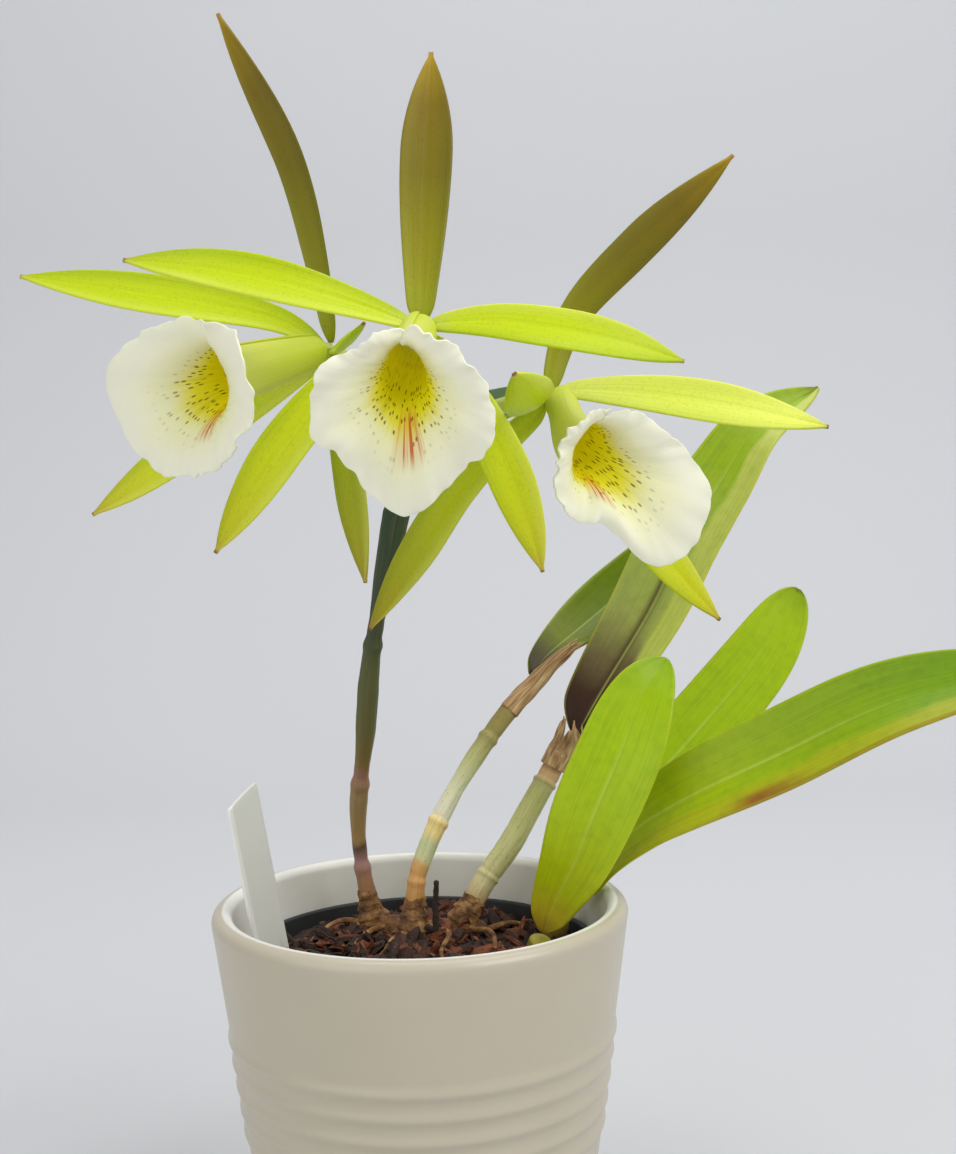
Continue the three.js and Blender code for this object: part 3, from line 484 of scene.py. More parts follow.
def closed(bm):
    """Merges the seam and the poles and turns every face outwards."""
    bmesh.ops.remove_doubles(bm, verts=bm.verts, dist=1e-6)
    bmesh.ops.recalc_face_normals(bm, faces=bm.faces)
    return bm


def piece(bm, name, nodes, slot, *finishes):
    """Object from a bmesh, riding on the body and standing for CAD nodes."""
    mesh = bpy.data.meshes.new(name)
    bm.to_mesh(mesh)
    bm.free()
    for finish in finishes:
        mesh.materials.append(finish)
    mesh.shade_smooth()
    obj = bpy.data.objects.new(name, mesh)
    bpy.context.scene.collection.objects.link(obj)
    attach(obj, BODY)
    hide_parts(*nodes)
    return obj


def solidify(obj, thickness):
    """Gives a sheet its thickness about its middle."""
    solid = obj.modifiers.new("Thickness", "SOLIDIFY")
    solid.thickness = thickness * MM
    solid.offset = 0
    return solid


def thicken(obj, thickness, back_slot=0):
    """Gives a sheet its thickness, as its vertex group shares it out, and rounds its edges."""
    solid = solidify(obj, thickness)
    solid.material_offset = back_slot
    solid.material_offset_rim = back_slot
    if obj.vertex_groups:
        solid.vertex_group = obj.vertex_groups[0].name
    round_off(obj)


def round_off(obj):
    """Smooths a mesh by subdivision."""
    smooth = obj.modifiers.new("Smoothing", "SUBSURF")
    smooth.levels = 1
    smooth.render_levels = 1


def soften(obj, width):
    """Bevels the sharp edges of a piece."""
    edge = obj.modifiers.new("Edges", "BEVEL")
    edge.width = width * MM
    edge.segments = 2
    edge.limit_method = "ANGLE"


def titled(name):
    """Name of a finish from the name of a node."""
    return name.replace("_", " ").title()


def ripple(x, y, z):
    """Noise in -1..1."""
    return noise.noise(Vector((x, y, z)))


class Sock:
    """A shader output that arithmetic works on; each sum adds a Math node."""

    def __init__(self, finish, socket):
        self.finish = finish
        self.socket = socket

    def math(self, operation, *others):
        return self.finish.node("ShaderNodeMath", {"operation": operation}, dict(enumerate((self, *others))))

    def __add__(self, other):
        return self.math("ADD", other)

    __radd__ = __add__

    def __sub__(self, other):
        return self.math("SUBTRACT", other)

    def __rsub__(self, other):
        return self.finish.node("ShaderNodeMath", {"operation": "SUBTRACT"}, {0: other, 1: self})

    def __mul__(self, other):
        return self.math("MULTIPLY", other)

    __rmul__ = __mul__

    def __pow__(self, other):
        return self.math("POWER", other)

    def __abs__(self):
        return self.math("ABSOLUTE")

    def least(self, other):
        return self.math("MINIMUM", other)

    def over(self, low, high):
        """Smooth step from 0 at low to 1 at high."""
        return self.finish.node(
            "ShaderNodeMapRange", {"interpolation_type": "SMOOTHSTEP"},
            {"Value": self, "From Min": low, "From Max": high})


class Finish:
    """A material built from nodes."""

    def __init__(self, name, roughness=0.5, **constants):
        self.material = bpy.data.materials.new(name)
        self.material.use_nodes = True
        self.tree = self.material.node_tree
        self.shader = self.tree.nodes["Principled BSDF"]
        self.feed("Roughness", roughness)
        for socket, value in constants.items():
            self.feed(socket.replace("_", " ").title().replace("Ior", "IOR"), value)

    def node(self, kind, settings=None, values=None, out=0):
        node = self.tree.nodes.new(kind)
        for name, value in (settings or {}).items():
            if name == "stops":
                self.set_stops(node.color_ramp, value)
            else:
                setattr(node, name, value)
        for key, value in (values or {}).items():
            self.link(node.inputs[key], value)
        return Sock(self, node.outputs[out])

    def set_stops(self, ramp, stops):
        """Each stop is its place, then a screen colour as three values or a linear one as a tuple."""
        while len(ramp.elements) < len(stops):
            ramp.elements.new(1.0)
        for element, (place, *colour) in zip(ramp.elements, stops):
            element.position = place
            element.color = (*(srgb(*colour) if len(colour) == 3 else colour[0]), 1)

    def link(self, socket, value):
        if isinstance(value, Sock):
            self.tree.links.new(value.socket, socket)
        elif isinstance(value, tuple) and len(value) == 3 and socket.type == "RGBA":
            socket.default_value = (*value, 1)
        else:
            socket.default_value = value

    def feed(self, name, value):
        self.link(self.shader.inputs[name], value)

    def uv(self):
        """U and V of the piece's own map."""
        split = self.tree.nodes.new("ShaderNodeSeparateXYZ")
        self.link(split.inputs[0], self.node("ShaderNodeUVMap", {"uv_map": "UVMap"}))
        return Sock(self, split.outputs[0]), Sock(self, split.outputs[1])

    def place(self):
        """Object coordinates as a vector."""
        return self.node("ShaderNodeTexCoord", out="Object")

    def xyz(self):
        split = self.tree.nodes.new("ShaderNodeSeparateXYZ")
        self.link(split.inputs[0], self.place())
        return [Sock(self, out) for out in split.outputs]

    def vector(self, x, y, z=0.0):
        return self.node("ShaderNodeCombineXYZ", None, {0: x, 1: y, 2: z})

    def noise(self, scale, vector=None, detail=3.0, roughness=0.5):
        """Noise about 0.5; a scale on object coordinates is in cycles per metre."""
        return self.node("ShaderNodeTexNoise", None, {
            "Vector": vector or self.place(), "Scale": scale, "Detail": detail, "Roughness": roughness})

    def stripes(self, across, along, detail=2.0):
        """Noise drawn out along a piece's own map."""
        return self.noise(1, self.vector(across, along), detail=detail)

    def ramp(self, factor, *stops):
        return self.node("ShaderNodeValToRGB", {"stops": stops}, {0: factor})

    def shade(self, factor, colour, tint):
        """Darkens a colour towards a tint."""
        return self.mix(factor, colour, tint, "MULTIPLY")

    def mix(self, factor, first, second, blend="MIX"):
        return self.node(
            "ShaderNodeMix", {"data_type": "RGBA", "blend_type": blend},
            {0: factor, 6: first, 7: second}, out=2)

    def bump(self, height, strength=0.3, distance=0.2):
        """Bump whose distance is in millimetres."""
        self.feed("Normal", self.node(
            "ShaderNodeBump", None, {"Height": height, "Strength": strength, "Distance": distance * MM}))

    def done(self, colour):
        self.feed("Base Color", colour)
        return self.material


def colour_setting(name, description, red, green, blue):
    """Colour setting with a default given as a screen colour."""
    return FloatVectorProperty(
        name=name, description=description, subtype="COLOR", default=srgb(red, green, blue))


def length_setting(name, description, default, least=0.2):
    """Length setting, its default and least value in millimetres."""
    return FloatProperty(
        name=name, description=description, unit="LENGTH", default=default * MM, min=least * MM)


class PotSettings(bpy.types.PropertyGroup):
    """Cover pot and nursery pot."""

    outside: colour_setting("Glaze", "Colour of the pot's outside", 194, 185, 164)
    inside: colour_setting("Inside glaze", "Colour of the pot's inside", 236, 235, 228)
    ring_relief: length_setting("Ring relief", "How far each turned ring stands out", 0.6, 0)
    plastic: colour_setting("Nursery pot", "Colour of the inner plastic pot", 24, 26, 29)


class BarkSettings(bpy.types.PropertyGroup):
    """Bark chips."""

    chips: IntProperty(name="Chips", description="Number of loose chips on top", default=620, min=0)
    chip_length: length_setting("Chip length", "Length of a usual chip", 5.5, 1)
    dark: colour_setting("Damp bark", "Colour of damp bark", 52, 28, 15)
    warm: colour_setting("Dry bark", "Colour of the drier chips", 134, 72, 40)


class LeafSettings(bpy.types.PropertyGroup):
    """Leaves."""

    thickness: length_setting("Leaf thickness", "Thickness along the midrib", 1.5)
    rib: colour_setting("Midrib", "Colour of the midrib", 206, 222, 110)
    margin: colour_setting("Margin", "Colour of the leaf's margin", 190, 190, 40)


class FlowerSettings(bpy.types.PropertyGroup):
    """Flowers."""

    tepal_thickness: length_setting("Tepal thickness", "Thickness of sepals and petals", 0.9)
    lip_thickness: length_setting("Lip thickness", "Thickness of the lip", 0.8)
    lip: colour_setting("Lip", "Colour of the lip's skirt", 248, 247, 222)
    throat: colour_setting("Throat", "Colour of the lip's throat", 236, 226, 6)
    speck: colour_setting("Specks", "Colour of the throat's specks", 96, 64, 14)
    streak: colour_setting("Streak", "Colour of the streak down the lip", 206, 96, 22)


class StageSettings(bpy.types.PropertyGroup):
    """Camera, lights and floor."""

    lens: FloatProperty(
        name="Lens", description="Focal length in millimetres", subtype="DISTANCE_CAMERA", default=50, min=10)
    camera_pitch: FloatProperty(
        name="Camera pitch", description="How far the camera looks down", subtype="ANGLE",
        default=math.radians(4.1))
    camera_roll: FloatProperty(
        name="Camera roll", description="How far the camera is turned about its axis", subtype="ANGLE",
        default=math.radians(-1.2))
    floor: FloatVectorProperty(
        name="Floor", description="Colour of the floor and backdrop", subtype="COLOR", default=(0.62, 0.63, 0.65))
    key_power: FloatProperty(name="Key light", description="Power of the main soft light", unit="POWER", default=9)
    fill_power: FloatProperty(name="Fill light", description="Power of the fill light", unit="POWER", default=4.5)


GROUPS = {
    "orchid_pot": PotSettings,
    "orchid_bark": BarkSettings,
    "orchid_leaves": LeafSettings,
    "orchid_flowers": FlowerSettings,
    "orchid_stage": StageSettings,
}


def pot_radius(z):
    return RIM_RADIUS - POT_TAPER * (SHOULDER_HEIGHT - z)


def lathe(profile, steps):
    """Body of revolution about Z from a profile of radius and height, millimetres."""
    bm = bmesh.new()
    verts = [bm.verts.new((radius * MM, 0, height * MM)) for radius, height in profile]
    edges = [bm.edges.new(pair) for pair in zip(verts, verts[1:])]
    bmesh.ops.spin(
        bm, geom=verts + edges, cent=(0, 0, 0), axis=(0, 0, 1), angle=2 * math.pi, steps=steps, use_merge=True)
    return closed(bm)


def arc(centre, radius, start, end, count):
    """Points of an arc, its angles in degrees."""
    turns = (math.radians(start + (end - start) * i / count) for i in range(count + 1))
    return [(centre[0] + radius * math.cos(a), centre[1] + radius * math.sin(a)) for a in turns]


def pot_profile(relief):
    """Cover pot from the axis at the bottom, up the outside, over the rim and down the inside."""
    foot = pot_radius(0)
    profile = [(0, 0.6), (foot - 8, 0.6), (foot - 7.4, 0), (foot - 1.2, 0)]
    profile += arc((foot - 1.2, 1.2), 1.2, -80, 0, 4)
    z = 2.0
    while z < SHOULDER_HEIGHT:
        ring = sum(bump_at(z, height, RING_HALF_HEIGHT * 0.75) for height in RING_HEIGHTS)
        profile.append((pot_radius(z) + relief * ring, z))
        z += 0.35 if RING_HEIGHTS[0] - 4 < z < RING_HEIGHTS[-1] + 4 else 4.0
    profile += arc((RIM_RADIUS - 2.2, POT_HEIGHT - 2.4), 2.2, 0, 90, 8)
    profile += arc((RIM_RADIUS - 2.4, POT_HEIGHT - 2.1), 2.1, 100, 180, 8)
    inside = [(pot_radius(z) - POT_WALL, z) for z in (70, 50, 30, 12, POT_FLOOR + 2)]
    return profile + inside + [(pot_radius(POT_FLOOR) - POT_WALL - 2, POT_FLOOR), (0, POT_FLOOR)]


def glaze(settings):
    """Satin cream glaze, whiter inside, with faint mottling, specks and a fine grain."""
    finish = Finish("Satin Glaze", roughness=0.34, coat_weight=0.25, coat_roughness=0.22)
    x, y, z = finish.xyz()
    radius = (x * x + y * y) ** 0.5
    wall = z * POT_TAPER + (RIM_RADIUS - POT_TAPER * SHOULDER_HEIGHT - POT_WALL + 1.6) * MM
    outside = (radius - wall).over(0, 0.6 * MM)
    mottle = finish.noise(90, detail=4.0)
    colour = finish.mix(outside, settings.inside[:], settings.outside[:])
    colour = finish.mix(mottle.over(0.3, 0.75) * 0.10, colour, srgb(176, 166, 148))
    specks = finish.noise(2600, detail=1.0).over(0.70, 0.78)
    colour = finish.mix(specks * 0.12, colour, srgb(150, 140, 124))
    finish.feed("Roughness", 0.33 + mottle * 0.10)
    grain = finish.noise(500, detail=2.0) + finish.noise(120, detail=2.0)
    finish.bump(grain, strength=0.12, distance=0.15)
    return finish.done(colour)


class ORCHID_OT_cover_pot(bpy.types.Operator):
    """Turns the ceramic cover pot"""

    bl_idname = "orchid.cover_pot"
    bl_label = "Cover Pot"

    def execute(self, context):
        settings = context.scene.orchid_pot
        bm = lathe(pot_profile(settings.ring_relief / MM), 160)
        piece(bm, "cover_pot_glazed", ["cover_pot"], "pot_ceramic", glaze(settings))
        return {"FINISHED"}


def nursery_radius(z):
    return pot_radius(z) - POT_WALL - NURSERY_CLEARANCE


def nursery_profile():
    """Nursery pot from the axis at the bottom, up the outside, over the beaded rim and down the inside."""
    foot = POT_FLOOR + GAP
    floor = foot + NURSERY_FLOOR
    bead = NURSERY_TOP - 3
    rim = nursery_radius(NURSERY_TOP)
    return [
        (0, foot), (nursery_radius(foot) - 1, foot), (nursery_radius(foot + 1), foot + 1),
        (nursery_radius(bead), bead), (nursery_radius(bead) + 0.4, bead + 0.4),
        (rim + 0.4, NURSERY_TOP - 0.5), (rim, NURSERY_TOP), (rim - NURSERY_WALL + 0.3, NURSERY_TOP),
        (rim - NURSERY_WALL, NURSERY_TOP - 0.3), (nursery_radius(floor) - NURSERY_WALL, floor), (0, floor),
    ]


class ORCHID_OT_nursery_pot(bpy.types.Operator):
    """Turns the black plastic nursery pot"""

    bl_idname = "orchid.nursery_pot"
    bl_label = "Nursery Pot"

    def execute(self, context):
        finish = Finish("Black Plastic", roughness=0.5)
        scuff = finish.noise(900, detail=3.0)
        finish.feed("Roughness", 0.42 + scuff * 0.2)
        finish.bump(scuff, strength=0.2, distance=0.1)
        colour = finish.mix(scuff.over(0.6, 0.8) * 0.3, context.scene.orchid_pot.plastic[:], srgb(56, 52, 48))
        obj = piece(
            lathe(nursery_profile(), 96), "nursery_pot_moulded", ["nursery_pot"], "nursery_plastic",
            finish.done(colour))
        soften(obj, 0.15)
        return {"FINISHED"}


def bark_finish(settings):
    """Damp dark bark with drier, redder chips and pale fibres."""
    finish = Finish("Bark", roughness=0.8)
    _, chip = finish.uv()
    grain = finish.noise(420, detail=5.0, roughness=0.65)
    fibre = finish.noise(1500, detail=2.0)
    colour = finish.mix(chip.over(0.45, 0.95), settings.dark[:], settings.warm[:])
    colour = finish.mix(grain.over(0.35, 0.7) * 0.55, colour, srgb(26, 15, 10))
    colour = finish.mix(fibre.over(0.62, 0.74) * 0.35, colour, srgb(160, 104, 66))
    finish.feed("Roughness", 0.62 + grain * 0.3)
    finish.bump(grain + fibre * 0.5, strength=0.8, distance=0.5)
    return finish.done(colour)


def bark_radius(z):
    return nursery_radius(z) - NURSERY_WALL - GAP


def bark_floor(x, y):
    """Height of the heap under the loose chips, millimetres."""
    reach = bark_radius(BARK_LEVEL)
    share = min(math.hypot(x, y) / reach, 1)
    lumps = noise.fractal(Vector((x * 0.11, y * 0.11, 3.7)), 0.6, 2.0, 4) * 1.1
    heap = HEAP_HEIGHT * math.exp(-((x + 1) ** 2 + (y - 13) ** 2) / HEAP_REACH ** 2)
    return BARK_LEVEL - 1.4 + BARK_MOUND * math.cos(share * math.pi / 2) + lumps + heap


def bark_bed():
    """Closed heap: floor, wall and lumpy top."""
    bottom = POT_FLOOR + GAP + NURSERY_FLOOR + GAP
    low = bark_radius(bottom)
    high = bark_radius(BARK_LEVEL)
    rings = 46

    def place(u, v):
        turn = 2 * math.pi * u
        if v < 0.001:
            return Vector((0, 0, bottom))
        ring = round(v * rings)
        if ring == 1:
            return Vector((low * math.cos(turn), low * math.sin(turn), bottom))
        radius = high * (1 - (ring - 2) / (rings - 2))
        x, y = radius * math.cos(turn), radius * math.sin(turn)
        return Vector((x, y, bark_floor(x, y)))

    return closed(grid(120, rings, place))


def chip_block():
    """Mesh of a unit block with each edge split once."""
    bm = bmesh.new()
    bm.loops.layers.uv.new("UVMap")
    bmesh.ops.create_cube(bm, size=1, calc_uvs=True)
    bmesh.ops.subdivide_edges(bm, edges=bm.edges, cuts=1, use_grid_fill=True)
    mesh = bpy.data.meshes.new("chip")
    bm.to_mesh(mesh)
    bm.free()
    return mesh


def add_chip(bm, block, draw, length, spot, colour):
    """One split chip of bark, tilted at random."""
    bm.from_mesh(block)
    bm.verts.ensure_lookup_table()
    bm.faces.ensure_lookup_table()
    size = Vector([length * draw.uniform(*share) for share in CHIP_SHARES])
    lean = Euler((draw.gauss(0, 0.5), draw.gauss(0, 0.5), draw.uniform(0, 2 * math.pi))).to_matrix()
    skew = draw.uniform(-0.3, 0.3)
    for vert in bm.verts[-len(block.vertices):]:
        x, y, z = vert.co
        rough = Vector([draw.uniform(-most, most) for most in CHIP_ROUGHNESS])
        narrow = 1 - 0.35 * (2 * abs(x)) ** 3
        local = (Vector((x + skew * y, y * narrow, z * narrow)) + rough) * size
        vert.co = (spot + lean @ local) * MM
    paint(bm.faces[-len(block.polygons):], bm.loops.layers.uv.active, colour)


def paint(faces, uv, colour):
    """Writes one shade per face into the map's V."""
    for face in faces:
        for loop in face.loops:
            loop[uv].uv = (0.5, colour)


def join(bm, other):
    """Adds another bmesh to this one and frees it."""
    mesh = bpy.data.meshes.new("joined")
    other.to_mesh(mesh)
    other.free()
    bm.from_mesh(mesh)
    bpy.data.meshes.remove(mesh)


class ORCHID_OT_bark(bpy.types.Operator):
    """Heaps the bark and scatters loose chips over it"""

    bl_idname = "orchid.bark"
    bl_label = "Bark"

    def execute(self, context):
        settings = context.scene.orchid_bark
        draw = random.Random(11)
        block = chip_block()
        bm = bmesh.new()
        bm.loops.layers.uv.new("UVMap")
        reach = nursery_radius(BARK_LEVEL) - NURSERY_WALL - 3.2
        for _ in range(settings.chips):
            radius = reach * math.sqrt(draw.random())
            turn = draw.uniform(0, 2 * math.pi)
            x, y = radius * math.cos(turn), radius * math.sin(turn)
            length = settings.chip_length / MM * draw.choice((0.4, 0.6, 0.8, 1.0))
            spot = Vector((x, y, bark_floor(x, y) + draw.uniform(0.1, 0.9)))
            add_chip(bm, block, draw, length, spot, draw.random())
        add_chip(bm, block, draw, 6.5, Vector((17, -9, BARK_LEVEL + 1.2)), 1.0)
        bpy.data.meshes.remove(block)
        bed = bark_bed()
        paint(bed.faces, bed.loops.layers.uv.active, 0.2)
        join(bm, bed)
        obj = piece(bm, "bark_chips", ["bark_medium"], "bark", bark_finish(settings))
        obj.data.shade_flat()
        return {"FINISHED"}


def tube(spec, columns, rows, reach, ends=(0.6, 0.6)):
    """Closed tube along a route; reach(around, along, radius) gives the radius at each vertex."""
    route = Route(spec["path"])
    stations = []
    side = Vector((1, 0, 0))
    for i in range(rows + 1):
        t = i / rows
        along = route.along(t)
        side = (side - along * side.dot(along)).normalized()
        stations.append((route.at(t), side, along.cross(side)))

    def place(u, v):
        centre, across, up = stations[round(v * rows)]
        foot = min(v * route.length / ends[0], 1)
        head = min((1 - v) * route.length / ends[1], 1)
        dome = math.sqrt(max(1 - (1 - foot) ** 2, 0) * max(1 - (1 - head) ** 2, 0))
        radius = reach(u, v, listed(spec["radii"], v)) * dome
        turn = 2 * math.pi * u
        return centre + (across * math.cos(turn) + up * math.sin(turn)) * radius

    return closed(grid(columns, rows, place))


def around_noise(u, v, turns, along, seed):
    """Noise in -1..1 that closes round a tube."""
    turn = 2 * math.pi * u
    return ripple(math.cos(turn) * turns + seed, math.sin(turn) * turns, v * along)


def cane_finish(name, colours):
    """Dry cane skin: colour along its length, fine ridges, freckles and node scars."""
    finish = Finish(name, roughness=0.5)
    around, along = finish.uv()
    wander = finish.noise(160, detail=3.0)
    colour = finish.ramp(along + (wander - 0.5) * 0.05, *colours)
    stripe = finish.stripes(around * 34, along * 5, detail=3.0)
    colour = finish.mix(stripe.over(0.45, 0.75) * 0.35, colour, srgb(120, 104, 60))
    freckle = finish.noise(1500, detail=2.0)
    colour = finish.mix(freckle.over(0.62, 0.72) * 0.3, colour, srgb(96, 66, 40))
    finish.feed("Roughness", 0.42 + stripe * 0.25)
    finish.bump(stripe + freckle * 0.4, strength=0.5, distance=0.25)
    return finish.done(colour)


class ORCHID_OT_canes(bpy.types.Operator):
    """Makes the three canes with their ringed joints"""

    bl_idname = "orchid.canes"
    bl_label = "Canes"

    def execute(self, context):
        for seed, (name, cane) in enumerate(CANES.items()):
            def reach(u, v, radius, cane=cane, seed=seed):
                joint = sum(
                    JOINT_SWELL * bump_at(v, at, 0.012) - JOINT_WAIST * bump_at(v, at + 0.022, 0.01)
                    for at in cane["joints"])
                ridges = 0.06 * math.sin(2 * math.pi * 9 * u + 3 * v) + 0.09 * around_noise(u, v, 2.2, 26, seed * 7)
                return radius + joint + ridges

            bm = tube(cane, 28, 150, reach, (1.2, 1.6))
            slot = "cane_dark" if name == "cane_flowering" else "cane_pale"
            obj = piece(bm, name + "_skin", [name], slot, cane_finish(titled(name), cane["colours"]))
            round_off(obj)
        return {"FINISHED"}


def rhizome_finish():
    """Tan, scaly rhizome skin with dark pits."""
    finish = Finish("Rhizome Skin", roughness=0.8)
    scale = finish.noise(330, detail=4.0)
    pits = finish.noise(1100, detail=3.0)
    colour = finish.ramp(scale, (0.3, 66, 40, 22), (0.52, 140, 98, 54), (0.75, 196, 158, 104))
    colour = finish.mix(pits.over(0.55, 0.7) * 0.5, colour, srgb(72, 46, 26))
    finish.bump(scale + pits, strength=0.7, distance=0.4)
    return finish.done(colour)


# Swollen scaly feet round the bottoms of the canes: path and radii
FEET = (
    {
        "path": [(-10.8, 18.6, 73), (-11.8, 19.2, 76), (-12.8, 19.6, 80), (-13.4, 19.6, 83)],
        "radii": (3.8, 3.9, 3.1, 2.5, 2.2),
    },
    {
        "path": [(-2.2, 9.8, 73), (-1.9, 10.2, 77), (-1.6, 10.5, 80.6), (-1.5, 10.7, 83)],
        "radii": (4.2, 4.2, 3.5, 2.9, 2.6),
    },
    {
        "path": [(8, 13.4, 73), (9, 13.8, 76), (11, 14.6, 79.5), (12.6, 15.4, 82)],
        "radii": (3.8, 4.0, 3.5, 3.1, 2.8),
    },
)
ROOTS = (
    ((-9, 16, 74.4), (-12, 11, 74.8), (-15, 4, 73.6), (-16, -3, 71)),
    ((-3, 10, 74.6), (-6, 4, 75.4), (-8, -3, 74.4), (-13, -10, 71.5)),
    ((4, 10.4, 75), (6, 3, 76), (4.4, -6, 74.6), (7, -14, 71)),
    ((9, 13, 74), (15, 7, 75.4), (16, 0, 74), (14, -8, 71)),
    ((13, 13.4, 73.6), (20, 16, 74.6), (24, 20, 72), (26, 22, 70)),
    ((-13, 20, 74), (-19, 20, 74.8), (-24, 15, 73.2), (-27, 10, 70.6)),
)


class ORCHID_OT_rhizome(bpy.types.Operator):
    """Makes the creeping rhizome with its swollen joints and roots"""

    bl_idname = "orchid.rhizome"
    bl_label = "Rhizome"

    def execute(self, context):
        def knobs(u, v, radius):
            rings = 0.22 * math.sin(2 * math.pi * 11 * v)
            return radius + 0.2 + rings + 0.8 * around_noise(u, v, 1.3, 14, 5)

        def scales(u, v, radius):
            flake = 0.5 * ((v * 4 + 0.5 * around_noise(u, v, 1.2, 3, 8)) % 1)
            return radius - flake + 0.5 * around_noise(u, v, 2.4, 9, 3)

        def fibre(u, v, radius):
            return radius * (1 - 0.35 * v) + 0.16 * around_noise(u, v, 1.5, 22, 9)

        bm = tube(RHIZOME, 28, 110, knobs, (1.5, 1.5))
        for foot in FEET:
            join(bm, tube(foot, 28, 40, scales, (1.5, 0.3)))
        for path in ROOTS:
            join(bm, tube({"path": path, "radii": (0.75, 0.6)}, 10, 44, fibre))
        obj = piece(bm, "rhizome_and_roots", ["rhizome"], "rhizome", rhizome_finish())
        round_off(obj)
        return {"FINISHED"}


class ORCHID_OT_growths(bpy.types.Operator):
    """Makes the old stub and the short growths that carry the lower leaves"""

    bl_idname = "orchid.growths"
    bl_label = "Short Growths"

    def execute(self, context):
        finish = Finish("Dead Stub", roughness=0.9)
        grain = finish.noise(800, detail=4.0)
        finish.bump(grain, strength=0.8, distance=0.3)
        colour = finish.mix(grain, srgb(24, 20, 16), srgb(62, 48, 34))
        bm = tube(STUB, 14, 60, lambda u, v, radius: radius + 0.18 * around_noise(u, v, 1.6, 20, 2), (0.5, 0.3))
        piece(bm, "old_stub_bark", ["old_stem_stub"], "bark", finish.done(colour))
        for seed, (name, growth) in enumerate(GROWTHS.items()):
            def reach(u, v, radius, seed=seed):
                return radius + 0.12 * math.sin(2 * math.pi * (2 * u + v)) + 0.1 * around_noise(u, v, 2, 8, seed)

            skin = Finish(titled(name), roughness=0.45)
            around, along = skin.uv()
            stripe = skin.stripes(around * 22, along * 2, detail=3.0)
            colour = skin.ramp(
                along + (stripe - 0.5) * 0.3, (0.2, 110, 84, 46), (0.6, 140, 118, 50), (1.0, 160, 156, 44))
            skin.bump(stripe, strength=0.4, distance=0.2)
            bm = tube(growth, 28, 50, reach, (1, 1.2))
            round_off(piece(bm, name + "_skin", [name], "leaf_green", skin.done(colour)))
        return {"FINISHED"}


class ORCHID_OT_label(bpy.types.Operator):
    """Cuts the plain plant label"""

    bl_idname = "orchid.label"
    bl_label = "Plant Label"

    def execute(self, context):
        along = (LABEL_HEAD - LABEL_FOOT).normalized()
        across = (LABEL_ACROSS - along * LABEL_ACROSS.dot(along)).normalized()
        normal = across.cross(along)

        def place(u, v):
            s = 2 * u - 1
            top = -LABEL_TOP_DROP + LABEL_TOP_SLOPE * (1 + s)
            corner = 1 - 0.05 * max(v - 0.97, 0) / 0.03
            bow = 0.35 * s * s
            return (
                LABEL_FOOT.lerp(LABEL_HEAD, v) + across * (s * corner * LABEL_WIDTH / 2) + along * (top * v)
                + normal * bow)

        finish = Finish("Label Plastic", roughness=0.4)
        haze = finish.noise(140, detail=3.0)
        finish.feed("Roughness", 0.34 + haze * 0.16)
        *_, z = finish.xyz()
        soil = (1 - z.over(73 * MM, 79 * MM)) * finish.noise(700, detail=4.0).over(0.4, 0.7)
        across_label, _ = finish.uv()
        colour = finish.mix(haze.over(0.4, 0.8) * 0.12, srgb(226, 226, 218), srgb(204, 204, 196))
        colour = finish.mix((1 - across_label.over(0.10, 0.14)) * 0.7, colour, srgb(248, 248, 244))
        colour = finish.mix(soil * 0.7, colour, srgb(110, 90, 66))
        finish.bump(haze, strength=0.1, distance=0.1)
        obj = piece(grid(10, 40, place), "plant_label_strip", ["plant_label"], "label_plastic", finish.done(colour))
        solidify(obj, LABEL_THICKNESS)
        soften(obj, 0.14)
        return {"FINISHED"}


def blade(spec, columns, rows, crease):
    """Sheet of a leaf or tepal, laid along its midrib, with a fine crease down it."""
    route = Route(spec["path"])
    facing = Vector(spec["facing"])
    stations = []
    for i in range(rows + 1):
        t = 1 - (1 - i / rows) ** ROW_SPACING
        along = route.along(t)
        across = along.cross(facing).normalized()
        stations.append((t, route.at(t), across, across.cross(along).normalized()))

    def place(u, v):
        t, centre, across, normal = stations[round(v * rows)]
        s = 2 * u - 1
        share = width_share(spec["shape"], t) * (1 - 0.7 * max(1 - t / FOOT_SHARE, 0) ** 2)
        fill = math.sin(math.pi * min(t + WAVE_LEAD, 1))
        swing = spec["wave"] * fill * math.sin(spec["waves"] * 2 * math.pi * t + spec.get("phase", 0) + s)
        lift = (spec["channel"] * share + swing) * s * s - crease * math.exp(-(s / CREASE_WIDTH) ** 2)
        return centre + across * (s * share * spec["width"] / 2) + normal * lift

    return grid(columns, rows, place)


def weigh_edges(obj, edge):
    """Vertex group that thins a grid sheet towards its margins and tip."""
    group = obj.vertex_groups.new(name="thickness")
    uv = obj.data.uv_layers.active.data
    for loop in obj.data.loops:
        u, v = uv[loop.index].uv
        s = abs(2 * u - 1)
        weight = 1 - (1 - edge) * max(s ** 2.5, max(v - 0.8, 0) / 0.2)
        group.add([loop.vertex_index], weight, "REPLACE")


